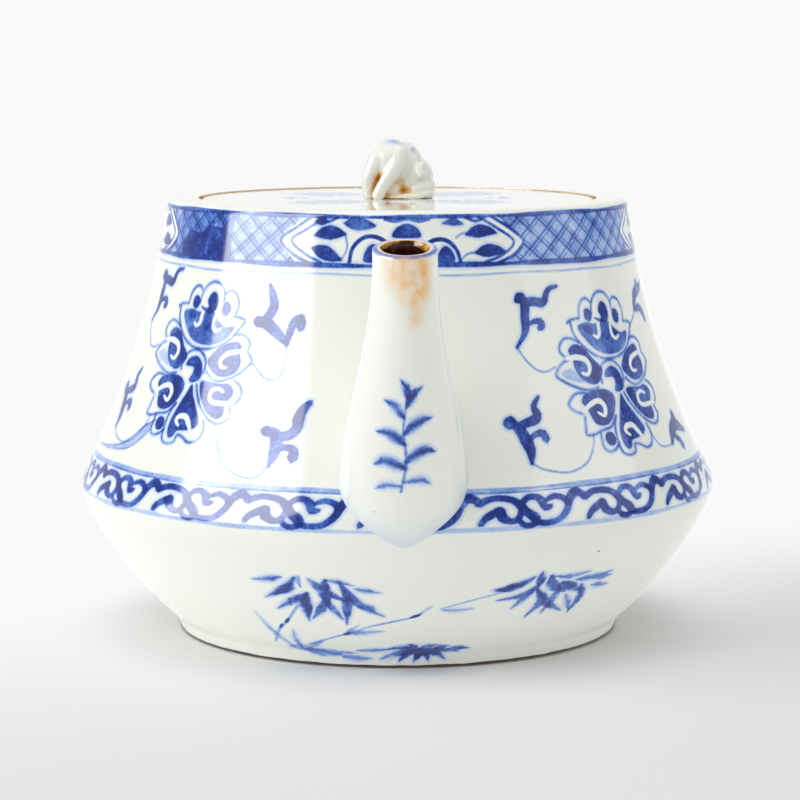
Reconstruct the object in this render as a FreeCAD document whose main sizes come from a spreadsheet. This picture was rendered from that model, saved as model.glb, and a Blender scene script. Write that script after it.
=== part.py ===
import FreeCAD, Part
import math
import os
import re
import Sketcher
from FreeCAD import Placement, Rotation, Vector

# A keeled porcelain teapot: two thrown halves luted at the keel, a flat shoulder with a sunken lid,
# a tapering spout at the front (-Y), a loop handle at the back (+Y) and a lion-dog knob.
# Sizes are in millimetres. The origin is the middle of the foot, on the table, and +Z is up.

SIZES = (
    ("keel_radius", 80.0, "outside radius at the keel"),
    ("keel_height", 36.6, "height of the keel above the table"),
    ("keel_round", 9.0, "rounding of the keel"),
    ("wall", 4.0, "thickness of the thrown clay"),
    ("wall_curve", 225.0, "hollow curve of the wall above the keel"),
    ("shoulder_radius", 58.3, "outside radius where the shoulder is luted on"),
    ("shoulder_draw", 0.8, "how far the shoulder draws in over its thickness"),
    ("shoulder_thick", 4.5, "thickness of the shoulder ring"),
    ("shoulder_round", 2.0, "rounding of the outer top edge"),
    ("top_height", 108.6, "height of the shoulder above the table"),
    ("bowl_curve", 95.0, "curve of the bowl below the keel"),
    ("foot_radius", 55.2, "outside radius of the foot on the table"),
    ("foot_flare", 1.3, "how far the foot widens to the bowl"),
    ("foot_height", 3.5, "height of the foot ring"),
    ("foot_width", 6.0, "width of the foot ring on the table"),
    ("base_recess", 2.8, "hollow under the floor inside the foot ring"),
    ("floor_thick", 4.6, "thickness of the floor"),
    ("shoulder_land", 8.3, "width of the shoulder from its outer edge in to the seat"),
    ("ledge_shelf", 7.0, "width of the ledge that the lid rests on"),
    ("ledge_reach", 2.8, "how far the ledge is luted under the shoulder"),
    ("ledge_thick", 3.0, "thickness of the ledge"),
    ("lid_gap", 0.7, "gap round the lid in its seat"),
    ("lid_thick", 4.2, "thickness of the lid plate"),
    ("lid_round", 0.7, "rounding of the lid's top edge"),
    ("collar_gap", 1.0, "gap between the collar and the mouth"),
    ("collar_depth", 7.0, "how far the collar reaches down"),
    ("collar_wall", 3.0, "thickness of the collar"),
    ("vent_bore", 2.6, "air hole through the lid"),
    ("vent_reach", 17.0, "distance of the air hole from the middle"),
    ("strainer_bore", 3.4, "each strainer hole through the wall"),
    ("strainer_pitch", 5.6, "distance between strainer holes"),
    ("strainer_rise", 18.0, "height of the strainer's middle above the keel"),
    ("spout_root_radius", 14.4, "outside radius of the spout inside the wall line"),
    ("spout_root_depth", 8.0, "how far the spout's root starts inside the keel radius"),
    ("spout_root_rise", 8.2, "height of the spout's root above the keel"),
    ("spout_root_lean", 65.0, "lean of the root from upright, in degrees"),
    ("spout_tip_radius", 7.2, "outside radius at the spout's mouth"),
    ("spout_tip_reach", 16.0, "how far the mouth stands out past the keel"),
    ("spout_tip_drop", 5.6, "how far the mouth lies below the shoulder"),
    ("spout_tip_lean", 13.0, "lean of the mouth from upright, in degrees"),
    ("spout_tip_wall", 2.1, "thickness of the spout at the mouth"),
    ("spout_root_wall", 3.2, "thickness of the spout at the root"),
    ("spout_lip_round", 0.8, "rounding of the pouring lip"),
    ("handle_width", 13.0, "width of the handle across the grip"),
    ("handle_thick", 8.0, "thickness of the handle"),
    ("handle_drop", 13.6, "how far the handle's top run lies below the shoulder"),
    ("handle_reach", 19.0, "how far the handle's middle line stands out past the keel"),
    ("handle_top_round", 17.0, "bend at the top of the handle"),
    ("handle_low_round", 25.0, "bend at the bottom of the handle"),
    ("handle_low_turn", 75.0, "how far the lower bend turns in, in degrees"),
    ("handle_root", 14.0, "how far the handle's ends are carried in before they are trimmed"),
    ("knob_length", 18.7, "length of the lion-dog, nose to rump"),
    ("knob_height", 15.2, "height of the lion-dog"),
    ("knob_depth", 14.0, "breadth of the lion-dog"),
)

ALIASES = {alias for alias, size, note in SIZES}
LID_TOP = "top_height - shoulder_thick + lid_thick"
SEAT = "top_height - shoulder_thick"
SEAT_RADIUS = "shoulder_radius - shoulder_land"
MOUTH_RADIUS = SEAT_RADIUS + " - ledge_shelf"

doc = FreeCAD.newDocument("teapot")
dims = doc.addObject("Spreadsheet::Sheet", "dims")
for row, (alias, size, note) in enumerate(SIZES, start=1):
    dims.set("A%d" % row, note)
    dims.set("B%d" % row, str(size))
    dims.setAlias("B%d" % row, alias)
doc.recompute()


def bound(text):
    """The expression with each named size read from the sheet."""
    return re.sub(r"[a-z_]+", lambda word: "dims." * (word.group() in ALIASES) + word.group(), text.lower())


def number(text):
    """What the expression comes to with the sizes in the sheet."""
    return float(dims.evalExpression(bound(text)))


def tie(thing, **sizes):
    """Binds properties of an object to expressions of the sheet's sizes."""
    for name, text in sizes.items():
        thing.setExpression(name, bound(text))


def put(thing, across, along, up):
    """Binds the place of an object to three expressions."""
    thing.setExpression("Placement.Base.x", bound(across))
    thing.setExpression("Placement.Base.y", bound(along))
    thing.setExpression("Placement.Base.z", bound(up))


def new_body(label):
    body = doc.addObject("PartDesign::Body", label)
    body.Label = label
    return body


class Outline:
    """A sketch on one of the body's own planes whose sizes are tied to the sheet."""

    def __init__(self, body, name, role):
        self.sketch = body.newObject("Sketcher::SketchObject", name)
        plane = next(one for one in body.Origin.OriginFeatures if one.Role == role)
        self.sketch.AttachmentSupport = [(plane, "")]
        self.sketch.MapMode = "FlatFace"

    def line(self, start, end):
        return self.sketch.addGeometry(Part.LineSegment(Vector(*start, 0), Vector(*end, 0)), False)

    def arc(self, centre, radius, first, last):
        circle = Part.Circle(Vector(*centre, 0), Vector(0, 0, 1), radius)
        return self.sketch.addGeometry(Part.ArcOfCircle(circle, first, last), False)

    def circle(self, centre, radius):
        return self.sketch.addGeometry(Part.Circle(Vector(*centre, 0), Vector(0, 0, 1), radius), False)

    def rule(self, kind, *where):
        self.sketch.addConstraint(Sketcher.Constraint(kind, *where))

    def size(self, text, kind, *where):
        place = self.sketch.addConstraint(Sketcher.Constraint(kind, *where, number(text)))
        self.sketch.setExpression("Constraints[%d]" % place, bound(text))

    def at(self, piece, end, across, up):
        """Ties one point of the outline to a radius and a height; zero means the axis or the base line."""
        if across == "0":
            self.rule("PointOnObject", piece, end, -2)
        else:
            self.size(across, "DistanceX", -1, 1, piece, end)
        if up == "0":
            self.rule("PointOnObject", piece, end, -1)
        else:
            self.size(up, "DistanceY", -1, 1, piece, end)

    def polygon(self, corners):
        """Straight sides through corners that are pairs of expressions."""
        points = [(number(across), number(up)) for across, up in corners]
        sides = [self.line(points[i], points[(i + 1) % len(points)]) for i in range(len(points))]
        for i, side in enumerate(sides):
            self.rule("Coincident", side, 2, sides[(i + 1) % len(sides)], 1)
        for side, (across, up) in zip(sides, corners):
            self.at(side, 1, across, up)


def turned(body, outline):
    """The solid that the outline makes when it is turned about the pot's axis."""
    turn = body.newObject("PartDesign::Revolution", body.Name + "_turn")
    turn.Profile = outline.sketch
    turn.ReferenceAxis = (outline.sketch, ["V_Axis"])
    turn.Angle = 360.0
    outline.sketch.Visibility = False
    doc.recompute()
    return turn


def rim_edges(shape, radius, height):
    """Names of the circular edges about the axis with this radius and height."""
    names = []
    for place, edge in enumerate(shape.Edges, start=1):
        round_edge = isinstance(edge.Curve, Part.Circle)
        if round_edge and abs(edge.Curve.Radius - radius) < 0.01 and abs(edge.Curve.Center.z - height) < 0.01:
            names.append("Edge%d" % place)
    return names


def rounded(body, base, radius, height, text):
    fillet = body.newObject("PartDesign::Fillet", body.Name + "_round")
    fillet.Base = (base, rim_edges(base.Shape, number(radius), number(height)))
    fillet.setExpression("Radius", bound(text))
    doc.recompute()
    return fillet


def circles_meet(first, first_radius, second, second_radius):
    """The two points where two circles cross."""
    span = (second[0] - first[0], second[1] - first[1])
    far = math.hypot(*span)
    along = (first_radius ** 2 - second_radius ** 2 + far ** 2) / (2 * far)
    side = math.sqrt(first_radius ** 2 - along ** 2)
    foot = (first[0] + along * span[0] / far, first[1] + along * span[1] / far)
    step = (side * span[1] / far, side * span[0] / far)
    return (foot[0] - step[0], foot[1] + step[1]), (foot[0] + step[0], foot[1] - step[1])


def angle_from(centre, point):
    return math.atan2(point[1] - centre[1], point[0] - centre[0])


# Starting places of the arcs, which the sketches then hold by tangency.
KEEL_CENTRE = (number("keel_radius - keel_round"), number("keel_height"))
SHOULDER_POINT = (number("shoulder_radius"), number(SEAT))
WALL_CENTRE = max(circles_meet(KEEL_CENTRE, number("wall_curve + keel_round"),
                               SHOULDER_POINT, number("wall_curve")))
FOOT_POINT = (number("foot_radius + foot_flare"), number("foot_height"))
BOWL_CENTRE = min(circles_meet(KEEL_CENTRE, number("bowl_curve - keel_round"),
                               FOOT_POINT, number("bowl_curve")))
WALL_TURN = angle_from(KEEL_CENTRE, WALL_CENTRE)
BOWL_TURN = angle_from(BOWL_CENTRE, KEEL_CENTRE)


def wall_side(outline):
    """Outside of the cone: the upper half of the keel and the hollow wall tangent to it."""
    keel = outline.arc(KEEL_CENTRE, number("keel_round"), 0.0, WALL_TURN)
    hollow = outline.arc(WALL_CENTRE, number("wall_curve"),
                         angle_from(WALL_CENTRE, SHOULDER_POINT) % (2 * math.pi), math.pi + WALL_TURN)
    outline.rule("Tangent", keel, 2, hollow, 2)
    outline.rule("Horizontal", keel, 3, keel, 1)
    outline.size("keel_round", "Radius", keel)
    outline.size("wall_curve", "Radius", hollow)
    outline.at(keel, 1, "keel_radius", "keel_height")
    outline.at(hollow, 1, "shoulder_radius", SEAT)
    return keel, hollow


def bowl_side(outline):
    """Outside of the bowl: the lower half of the keel, the bowl tangent to it and the foot."""
    keel = outline.arc(KEEL_CENTRE, number("keel_round"), BOWL_TURN, 0.0)
    bowl = outline.arc(BOWL_CENTRE, number("bowl_curve"), angle_from(BOWL_CENTRE, FOOT_POINT), BOWL_TURN)
    foot = outline.line(FOOT_POINT, (number("foot_radius"), 0.0))
    outline.rule("Tangent", bowl, 2, keel, 1)
    outline.rule("Horizontal", keel, 3, keel, 2)
    outline.rule("Coincident", bowl, 1, foot, 1)
    outline.size("keel_round", "Radius", keel)
    outline.size("bowl_curve", "Radius", bowl)
    outline.at(keel, 2, "keel_radius", "keel_height")
    outline.at(foot, 1, "foot_radius + foot_flare", "foot_height")
    outline.at(foot, 2, "foot_radius", "0")
    return keel, bowl, foot


# Cone above the keel, one clay thickness all the way up, pierced behind the spout.
upper_wall = new_body("upper_wall")
section = Outline(upper_wall, "upper_wall_section", "XZ_Plane")
keel, hollow = wall_side(section)
inner_hollow = section.arc(WALL_CENTRE, number("wall_curve + wall"),
                           angle_from(WALL_CENTRE, SHOULDER_POINT) % (2 * math.pi), math.pi + WALL_TURN)
inner_keel = section.arc(KEEL_CENTRE, number("keel_round - wall"), 0.0, WALL_TURN)
luting_top = section.line(SHOULDER_POINT, (SHOULDER_POINT[0] - number("wall"), SHOULDER_POINT[1]))
luting_low = section.line((number("keel_radius - wall"), number("keel_height")),
                          (number("keel_radius"), number("keel_height")))
section.rule("Coincident", hollow, 1, luting_top, 1)
section.rule("Coincident", luting_top, 2, inner_hollow, 1)
section.rule("Tangent", inner_hollow, 2, inner_keel, 2)
section.rule("Coincident", inner_keel, 1, luting_low, 1)
section.rule("Coincident", luting_low, 2, keel, 1)
section.rule("Coincident", hollow, 3, inner_hollow, 3)
section.rule("Coincident", keel, 3, inner_keel, 3)
section.rule("Horizontal", luting_top)
section.rule("Horizontal", luting_low)
section.size("keel_round - wall", "Radius", inner_keel)
whole_wall = turned(upper_wall, section)

holes = Outline(upper_wall, "strainer_holes", "XZ_Plane")
for place in range(7):
    ring = 0 if place == 6 else 1
    turn = 60.0 * place
    across = "%d * strainer_pitch * cos(%g)" % (ring, turn)
    up = "keel_height + strainer_rise + %d * strainer_pitch * sin(%g)" % (ring, turn)
    hole = holes.circle((number(across), number(up)), number("strainer_bore / 2"))
    holes.size("strainer_bore", "Diameter", hole)
    if ring:
        holes.size(across, "DistanceX", -1, 1, hole, 3)
    else:
        holes.rule("PointOnObject", hole, 3, -2)
    holes.size(up, "DistanceY", -1, 1, hole, 3)
strainer = upper_wall.newObject("PartDesign::Pocket", "strainer")
strainer.Profile = holes.sketch
strainer.Type = "Length"
strainer.setExpression("Length", bound("keel_radius + wall"))
doc.recompute()
if strainer.Shape.Solids[0].CenterOfMass.y < whole_wall.Shape.Solids[0].CenterOfMass.y:
    strainer.Reversed = True
    doc.recompute()
holes.sketch.Visibility = False

# Bowl below the keel with the floor and the turned foot ring.
lower_bowl = new_body("lower_bowl")
section = Outline(lower_bowl, "lower_bowl_section", "XZ_Plane")
keel, bowl, foot = bowl_side(section)
floor_top = number("base_recess + floor_thick")
inner_radius = number("bowl_curve - wall")
floor_turn = math.asin((floor_top - BOWL_CENTRE[1]) / inner_radius)
floor_edge = BOWL_CENTRE[0] + inner_radius * math.cos(floor_turn)
ring_inside = number("foot_radius - foot_width")
recess = number("base_recess")
ring_base = section.line((number("foot_radius"), 0.0), (ring_inside, 0.0))
ring_side = section.line((ring_inside, 0.0), (ring_inside, recess))
underside = section.line((ring_inside, recess), (0.0, recess))
axis = section.line((0.0, recess), (0.0, floor_top))
floor = section.line((0.0, floor_top), (floor_edge, floor_top))
inner_bowl = section.arc(BOWL_CENTRE, inner_radius, floor_turn, BOWL_TURN)
inner_keel = section.arc(KEEL_CENTRE, number("keel_round - wall"), BOWL_TURN, 0.0)
luting = section.line((number("keel_radius - wall"), number("keel_height")),
                      (number("keel_radius"), number("keel_height")))
run = (foot, ring_base, ring_side, underside, axis, floor)
for first, second in zip(run, run[1:]):
    section.rule("Coincident", first, 2, second, 1)
section.rule("Coincident", floor, 2, inner_bowl, 1)
section.rule("Tangent", inner_bowl, 2, inner_keel, 1)
section.rule("Coincident", inner_keel, 2, luting, 1)
section.rule("Coincident", luting, 2, keel, 2)
section.rule("Coincident", bowl, 3, inner_bowl, 3)
section.rule("Coincident", keel, 3, inner_keel, 3)
section.rule("Horizontal", luting)
section.rule("Horizontal", floor)
section.rule("Horizontal", ring_base)
section.rule("Vertical", ring_side)
section.rule("Horizontal", underside)
section.size("keel_round - wall", "Radius", inner_keel)
section.size("foot_radius - foot_width", "DistanceX", -1, 1, ring_side, 1)
section.at(axis, 1, "0", "base_recess")
section.at(axis, 2, "0", "base_recess + floor_thick")
turned(lower_bowl, section)

# Flat shoulder that closes the cone; its inner edge is the seat of the lid.
shoulder_ring = new_body("shoulder_ring")
section = Outline(shoulder_ring, "shoulder_section", "XZ_Plane")
section.polygon((
    (SEAT_RADIUS, SEAT),
    ("shoulder_radius", SEAT),
    ("shoulder_radius - shoulder_draw", "top_height"),
    (SEAT_RADIUS, "top_height"),
))
plain = turned(shoulder_ring, section)
rounded(shoulder_ring, plain, "shoulder_radius - shoulder_draw", "top_height", "shoulder_round")

# Ledge luted under the shoulder, on which the lid rests.
lid_ledge = new_body("lid_ledge")
section = Outline(lid_ledge, "ledge_section", "XZ_Plane")
section.polygon((
    (MOUTH_RADIUS, SEAT + " - ledge_thick"),
    (SEAT_RADIUS + " + ledge_reach", SEAT + " - ledge_thick"),
    (SEAT_RADIUS + " + ledge_reach", SEAT),
    (MOUTH_RADIUS, SEAT),
))
turned(lid_ledge, section)

# Flat lid, a little below the shoulder, with an air hole behind the knob.
lid_plate = new_body("lid_plate")
section = Outline(lid_plate, "lid_section", "XZ_Plane")
section.polygon((
    ("0", SEAT),
    (SEAT_RADIUS + " - lid_gap", SEAT),
    (SEAT_RADIUS + " - lid_gap", LID_TOP),
    ("0", LID_TOP),
))
plain = turned(lid_plate, section)
disc = rounded(lid_plate, plain, SEAT_RADIUS + " - lid_gap", LID_TOP, "lid_round")
hole = Outline(lid_plate, "vent_hole", "XY_Plane")
ring = hole.circle((0.0, number("vent_reach")), number("vent_bore / 2"))
hole.size("vent_bore", "Diameter", ring)
hole.at(ring, 3, "0", "vent_reach")
vent = lid_plate.newObject("PartDesign::Pocket", "vent")
vent.Profile = hole.sketch
vent.Type = "ThroughAll"
vent.Reversed = True
hole.sketch.Visibility = False
doc.recompute()

# Collar under the lid that keeps it in the mouth while pouring.
lid_collar = new_body("lid_collar")
section = Outline(lid_collar, "collar_section", "XZ_Plane")
section.polygon((
    (MOUTH_RADIUS + " - collar_gap - collar_wall", SEAT + " - collar_depth"),
    (MOUTH_RADIUS + " - collar_gap", SEAT + " - collar_depth"),
    (MOUTH_RADIUS + " - collar_gap", SEAT),
    (MOUTH_RADIUS + " - collar_gap - collar_wall", SEAT),
))
turned(lid_collar, section)

# Filled form of the thrown pot, which trims the spout and the handle to its outside.
pot_form = new_body("pot_form")
section = Outline(pot_form, "pot_form_section", "XZ_Plane")
upper_keel, hollow = wall_side(section)
lower_keel, bowl, foot = bowl_side(section)
base = section.line((number("foot_radius"), 0.0), (0.0, 0.0))
axis = section.line((0.0, 0.0), (0.0, SHOULDER_POINT[1]))
top = section.line((0.0, SHOULDER_POINT[1]), SHOULDER_POINT)
section.rule("Coincident", foot, 2, base, 1)
section.rule("Coincident", base, 2, axis, 1)
section.rule("Coincident", axis, 2, top, 1)
section.rule("Coincident", top, 2, hollow, 1)
section.at(axis, 1, "0", "0")
section.rule("PointOnObject", axis, 2, -2)
section.rule("Horizontal", top)
turned(pot_form, section)


def spout_station(name, share, wall_text, past):
    """One round of the spout at a share of the way from its root to its mouth.

    The middle line swings up quickly at first, and the radius and the lean ease from root to mouth."""
    swing = 1.0 - (1.0 - share) ** 1.35
    ease = (1.0 + math.cos(math.pi * share)) / 2.0
    swell = ease ** 1.15
    lean = "spout_tip_lean + (spout_root_lean - spout_tip_lean) * %.6f" % ease
    reach = "keel_radius - spout_root_depth + (spout_root_depth + spout_tip_reach) * %.6f" % swing
    rise = ("keel_height + spout_root_rise + "
            "(top_height - spout_tip_drop - keel_height - spout_root_rise) * %.6f" % share)
    round_one = doc.addObject("Part::Circle", name)
    round_one.Placement = Placement(Vector(), Rotation(Vector(1, 0, 0), number(lean)))
    round_one.setExpression("Placement.Rotation.Angle", bound(lean))
    put(round_one, "0", "-(%s) - %g * sin(%s)" % (reach, past, lean), "%s + %g * cos(%s)" % (rise, past, lean))
    tie(round_one, Radius="spout_tip_radius + (spout_root_radius - spout_tip_radius) * %.6f - (%s)"
        % (swell, wall_text))
    round_one.Visibility = False
    return round_one


def loft(name, rounds):
    skin = doc.addObject("Part::Loft", name)
    skin.Sections = rounds
    skin.Solid = True
    skin.Ruled = False
    return skin


def less(name, base, tool):
    """One object with another taken away from it."""
    cut = doc.addObject("Part::Cut", name)
    cut.Base = base
    cut.Tool = tool
    cut.Refine = True
    base.Visibility = False
    return cut


def joined(name, pieces):
    fuse = doc.addObject("Part::MultiFuse", name)
    fuse.Shapes = pieces
    fuse.Refine = True
    return fuse


# Spout: a bulb on the keel that draws out to a straight neck with a bevelled, rounded mouth.
SHARES = (0.0, 0.2, 0.4, 0.6, 0.8, 1.0)
outer_rounds = [spout_station("spout_round_%d" % i, share, "0", 0.0) for i, share in enumerate(SHARES)]
bore_rounds = []
for i, share in enumerate(SHARES):
    bore_wall = "spout_tip_wall + (spout_root_wall - spout_tip_wall) * %.6f" % (1.0 - share)
    bore_rounds.append(spout_station("spout_bore_%d" % i, share, bore_wall, 0.0))
bore_rounds.insert(0, spout_station("spout_bore_inside", 0.0, "spout_root_wall", -6.0))
bore_rounds.append(spout_station("spout_bore_outside", 1.0, "spout_tip_wall", 2.0))
spout_skin = loft("spout_skin", outer_rounds)
spout_bore = loft("spout_bore", bore_rounds)
spout_tube = less("spout_tube", spout_skin, spout_bore)
doc.recompute()
lip_edges = []
for place, edge in enumerate(spout_tube.Shape.Edges, start=1):
    if edge.CenterOfMass.z > number("top_height - spout_tip_drop - 0.2"):
        lip_edges.append((place, number("spout_lip_round"), number("spout_lip_round")))
spout_lip = doc.addObject("Part::Fillet", "spout_lip")
spout_lip.Base = spout_tube
spout_lip.Edges = lip_edges
spout = less("spout", spout_lip, pot_form)
doc.recompute()

# Handle: a rolled oval bent to a loop, its ends trimmed to the outside of the wall.
handle_body = new_body("handle_roll")
spine = Outline(handle_body, "handle_line", "YZ_Plane")
reach = number("keel_radius + handle_reach")
top = number("top_height - handle_drop")
top_round = number("handle_top_round")
low_round = number("handle_low_round")
low_turn = math.radians(number("handle_low_turn"))
start = number("shoulder_radius - handle_root")
bend = (reach - top_round, top - top_round)
turn = (reach - low_round, top - top_round)
leave = (turn[0] + low_round * math.cos(low_turn), turn[1] - low_round * math.sin(low_turn))
run_in = number("handle_reach + handle_root")
end = (leave[0] - run_in * math.sin(low_turn), leave[1] - run_in * math.cos(low_turn))
top_run = spine.line((start, top), (bend[0], top))
top_bend = spine.arc(bend, top_round, 0.0, math.pi / 2)
low_bend = spine.arc(turn, low_round, -low_turn, 0.0)
low_run = spine.line(leave, end)
spine.rule("Horizontal", top_run)
spine.rule("Tangent", top_run, 2, top_bend, 2)
spine.rule("Tangent", top_bend, 1, low_bend, 2)
spine.rule("Tangent", low_bend, 1, low_run, 1)
spine.rule("Horizontal", top_bend, 3, top_bend, 1)
spine.size("handle_top_round", "Radius", top_bend)
spine.size("handle_low_round", "Radius", low_bend)
spine.at(top_run, 1, "shoulder_radius - handle_root", "top_height - handle_drop")
spine.size("keel_radius + handle_reach", "DistanceX", -1, 1, top_bend, 1)
spine.size("handle_reach + handle_root", "Distance", low_run)
spine.size("(keel_radius + handle_reach - handle_low_round) + handle_low_round * cos(handle_low_turn)",
           "DistanceX", -1, 1, low_run, 1)
oval = Outline(handle_body, "handle_oval", "XZ_Plane")
oval.sketch.setExpression("AttachmentOffset.Base.z", bound("-(shoulder_radius - handle_root)"))
rim = oval.sketch.addGeometry(Part.Ellipse(Vector(0, number("top_height - handle_drop"), 0),
                                           number("handle_width / 2"), number("handle_thick / 2")), False)
oval.sketch.exposeInternalGeometry(rim)
oval.at(rim, 3, "0", "top_height - handle_drop")
oval.rule("Horizontal", rim + 1)
oval.size("handle_width", "Distance", rim + 1)
oval.size("handle_thick", "Distance", rim + 2)
doc.recompute()
roll = handle_body.newObject("PartDesign::AdditivePipe", "handle_pipe")
roll.Profile = oval.sketch
roll.Spine = (spine.sketch, ["Edge1", "Edge2", "Edge3", "Edge4"])
oval.sketch.Visibility = False
spine.sketch.Visibility = False
doc.recompute()
handle = less("handle", handle_body, pot_form)
doc.recompute()


def spot(across, along, up):
    """Expressions for a place on the lid in shares of the knob's length, depth and height."""
    return "knob_length * %g" % across, "knob_depth * %g" % along, LID_TOP + " + knob_height * %g" % up


def lump(name, across, along, up, radius):
    """A rolled ball of clay; its radius is a share of the knob's length."""
    ball = doc.addObject("Part::Sphere", name)
    put(ball, *spot(across, along, up))
    tie(ball, Radius="knob_length * %g" % radius)
    ball.Visibility = False
    return ball


def limb(name, low, high):
    """A tapered roll of clay between two places, each with a radius after it."""
    base = Vector(*[number(text) for text in spot(*low[:3])])
    span = Vector(*[number(text) for text in spot(*high[:3])]) - base
    roll = doc.addObject("Part::Cone", name)
    roll.Placement = Placement(base, Rotation(Vector(0, 0, 1), span))
    roll.Height = span.Length
    tie(roll, Radius1="knob_length * %g" % low[3], Radius2="knob_length * %g" % high[3])
    roll.Visibility = False
    return roll


# Slab below the lid's upper face, which flattens the knob's pieces where they are stuck on.
slab = doc.addObject("Part::Cylinder", "lid_face")
tie(slab, Radius="knob_length * 1.5", Height="knob_height")
put(slab, "0", "0", LID_TOP + " - knob_height")
slab.Visibility = False

# Lion-dog's head: a round skull with the muzzle turned down, a chin and two ears.
knob_head = joined("knob_head", [
    lump("skull", -0.14, -0.085, 0.625, 0.305),
    lump("muzzle", -0.30, -0.25, 0.45, 0.145),
    lump("chin", -0.345, -0.22, 0.33, 0.095),
    lump("ear_right", 0.02, -0.36, 0.74, 0.09),
    lump("ear_left", -0.04, 0.26, 0.78, 0.09),
])

# Trunk with haunches and hind paws, hollowed where the head is pressed on.
trunk = joined("knob_trunk", [
    lump("trunk", 0.205, 0.07, 0.37, 0.335),
    lump("rump", 0.30, 0.12, 0.26, 0.245),
    lump("haunch_right", 0.31, -0.26, 0.24, 0.19),
    lump("haunch_left", 0.27, 0.38, 0.24, 0.19),
    limb("hind_paw_right", (0.34, -0.40, 0.06, 0.085), (0.13, -0.44, 0.05, 0.075)),
    limb("hind_paw_left", (0.32, 0.50, 0.06, 0.085), (0.11, 0.52, 0.05, 0.075)),
    lump("hind_toes_right", 0.13, -0.44, 0.05, 0.082),
    lump("hind_toes_left", 0.11, 0.52, 0.05, 0.082),
])
trunk_on_lid = less("trunk_on_lid", trunk, slab)
knob_body = less("knob_body", trunk_on_lid, knob_head)


def foreleg(name, ankle, shoulder, toes):
    leg = joined(name + "_clay", [limb(name + "_roll", ankle, shoulder), lump(name + "_paw", *toes)])
    off_head = less(name + "_off_head", leg, knob_head)
    off_body = less(name + "_off_body", off_head, trunk_on_lid)
    return less(name, off_body, slab)


knob_foreleg_right = foreleg("knob_foreleg_right", (-0.215, -0.44, 0.05, 0.062), (0.03, -0.36, 0.62, 0.12),
                             (-0.235, -0.49, 0.06, 0.085))
knob_foreleg_left = foreleg("knob_foreleg_left", (-0.35, 0.16, 0.05, 0.062), (-0.20, 0.20, 0.52, 0.115),
                            (-0.37, 0.14, 0.06, 0.082))

# Tail: a short roll curled on the rump.
tail_curl = doc.addObject("Part::Torus", "tail_curl")
tail_out = Vector(0.62, -0.30, 0.72)
tail_out.normalize()
tail_base = Vector(*[number(text) for text in spot(0.205, 0.07, 0.37)])
tail_curl.Placement = Placement(tail_base + tail_out * number("knob_length * 0.315"),
                                Rotation(Vector(0, 0, 1), tail_out))
tie(tail_curl, Radius1="knob_length * 0.10", Radius2="knob_length * 0.055")
tail_curl.Angle3 = 310.0
tail_curl.Visibility = False
knob_tail = less("knob_tail", tail_curl, trunk_on_lid)
doc.recompute()

NODES = (lower_bowl, upper_wall, shoulder_ring, lid_ledge, spout, handle, lid_plate, lid_collar,
         knob_body, knob_head, knob_foreleg_left, knob_foreleg_right, knob_tail)

os.makedirs("parts", exist_ok=True)
for thing in doc.Objects:
    if "Invalid" in thing.State or "Error" in thing.State:
        raise RuntimeError("%s did not build: %s" % (thing.Label, thing.State))
for node in NODES:
    shape = node.Shape
    if shape.isNull() or not shape.isValid():
        raise RuntimeError("%s has no valid shape" % node.Label)
    if len(shape.Solids) != 1:
        raise RuntimeError("%s is %d solids" % (node.Label, len(shape.Solids)))
    shape.exportStep("parts/%s.step" % node.Label)
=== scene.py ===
import math

import bpy
import numpy as np
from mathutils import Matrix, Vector
from mathutils.bvhtree import BVHTree
from mathutils.geometry import delaunay_2d_cdt


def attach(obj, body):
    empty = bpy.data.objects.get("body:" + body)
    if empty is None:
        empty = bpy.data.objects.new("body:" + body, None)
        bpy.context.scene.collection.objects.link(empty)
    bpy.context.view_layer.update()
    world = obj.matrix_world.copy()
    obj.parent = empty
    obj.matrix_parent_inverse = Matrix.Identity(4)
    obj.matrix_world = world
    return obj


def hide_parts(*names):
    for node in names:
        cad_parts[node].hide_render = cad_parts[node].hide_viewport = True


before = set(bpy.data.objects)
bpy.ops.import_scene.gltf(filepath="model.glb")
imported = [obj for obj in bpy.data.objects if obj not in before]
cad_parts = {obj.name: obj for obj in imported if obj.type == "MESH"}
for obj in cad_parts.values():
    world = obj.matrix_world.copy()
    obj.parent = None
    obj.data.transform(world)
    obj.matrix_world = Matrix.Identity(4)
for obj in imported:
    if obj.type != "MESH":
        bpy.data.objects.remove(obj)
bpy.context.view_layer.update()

bl_info = {
    "name": "Blue and white teapot",
    "version": (1, 0, 0),
    "blender": (4, 5, 0),
    "location": "View3D > Sidebar > Teapot",
    "description": "Brush-painted porcelain teapot with a lifting lid, built on its CAD frame",
    "category": "Add Mesh",
}

MM = 0.001


def node_points(node):
    """Vertices of a CAD node, in millimetres."""
    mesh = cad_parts[node].data
    flat = np.empty(len(mesh.vertices) * 3)
    mesh.vertices.foreach_get("co", flat)
    return flat.reshape(-1, 3) / MM


def span(node):
    """Least and greatest radius and height of a turned CAD node, in millimetres."""
    co = node_points(node)
    radius = np.hypot(co[:, 0], co[:, 1])
    return radius.min(), radius.max(), co[:, 2].min(), co[:, 2].max()


def linear(code):
    """Linear red, green and blue of an sRGB hex colour."""
    parts = [int(code[i:i + 2], 16) / 255 for i in (1, 3, 5)]
    return tuple(c / 12.92 if c <= 0.04045 else ((c + 0.055) / 1.055) ** 2.4 for c in parts)


def length(name, description, default):
    """A length property, its default given in millimetres."""
    return bpy.props.FloatProperty(
        name=name, description=description, default=default * MM, unit="LENGTH")


def colour(name, description, code):
    """A colour property, its default given as an sRGB hex value."""
    return bpy.props.FloatVectorProperty(
        name=name, description=description, default=linear(code), subtype="COLOR", min=0, max=1)


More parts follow.
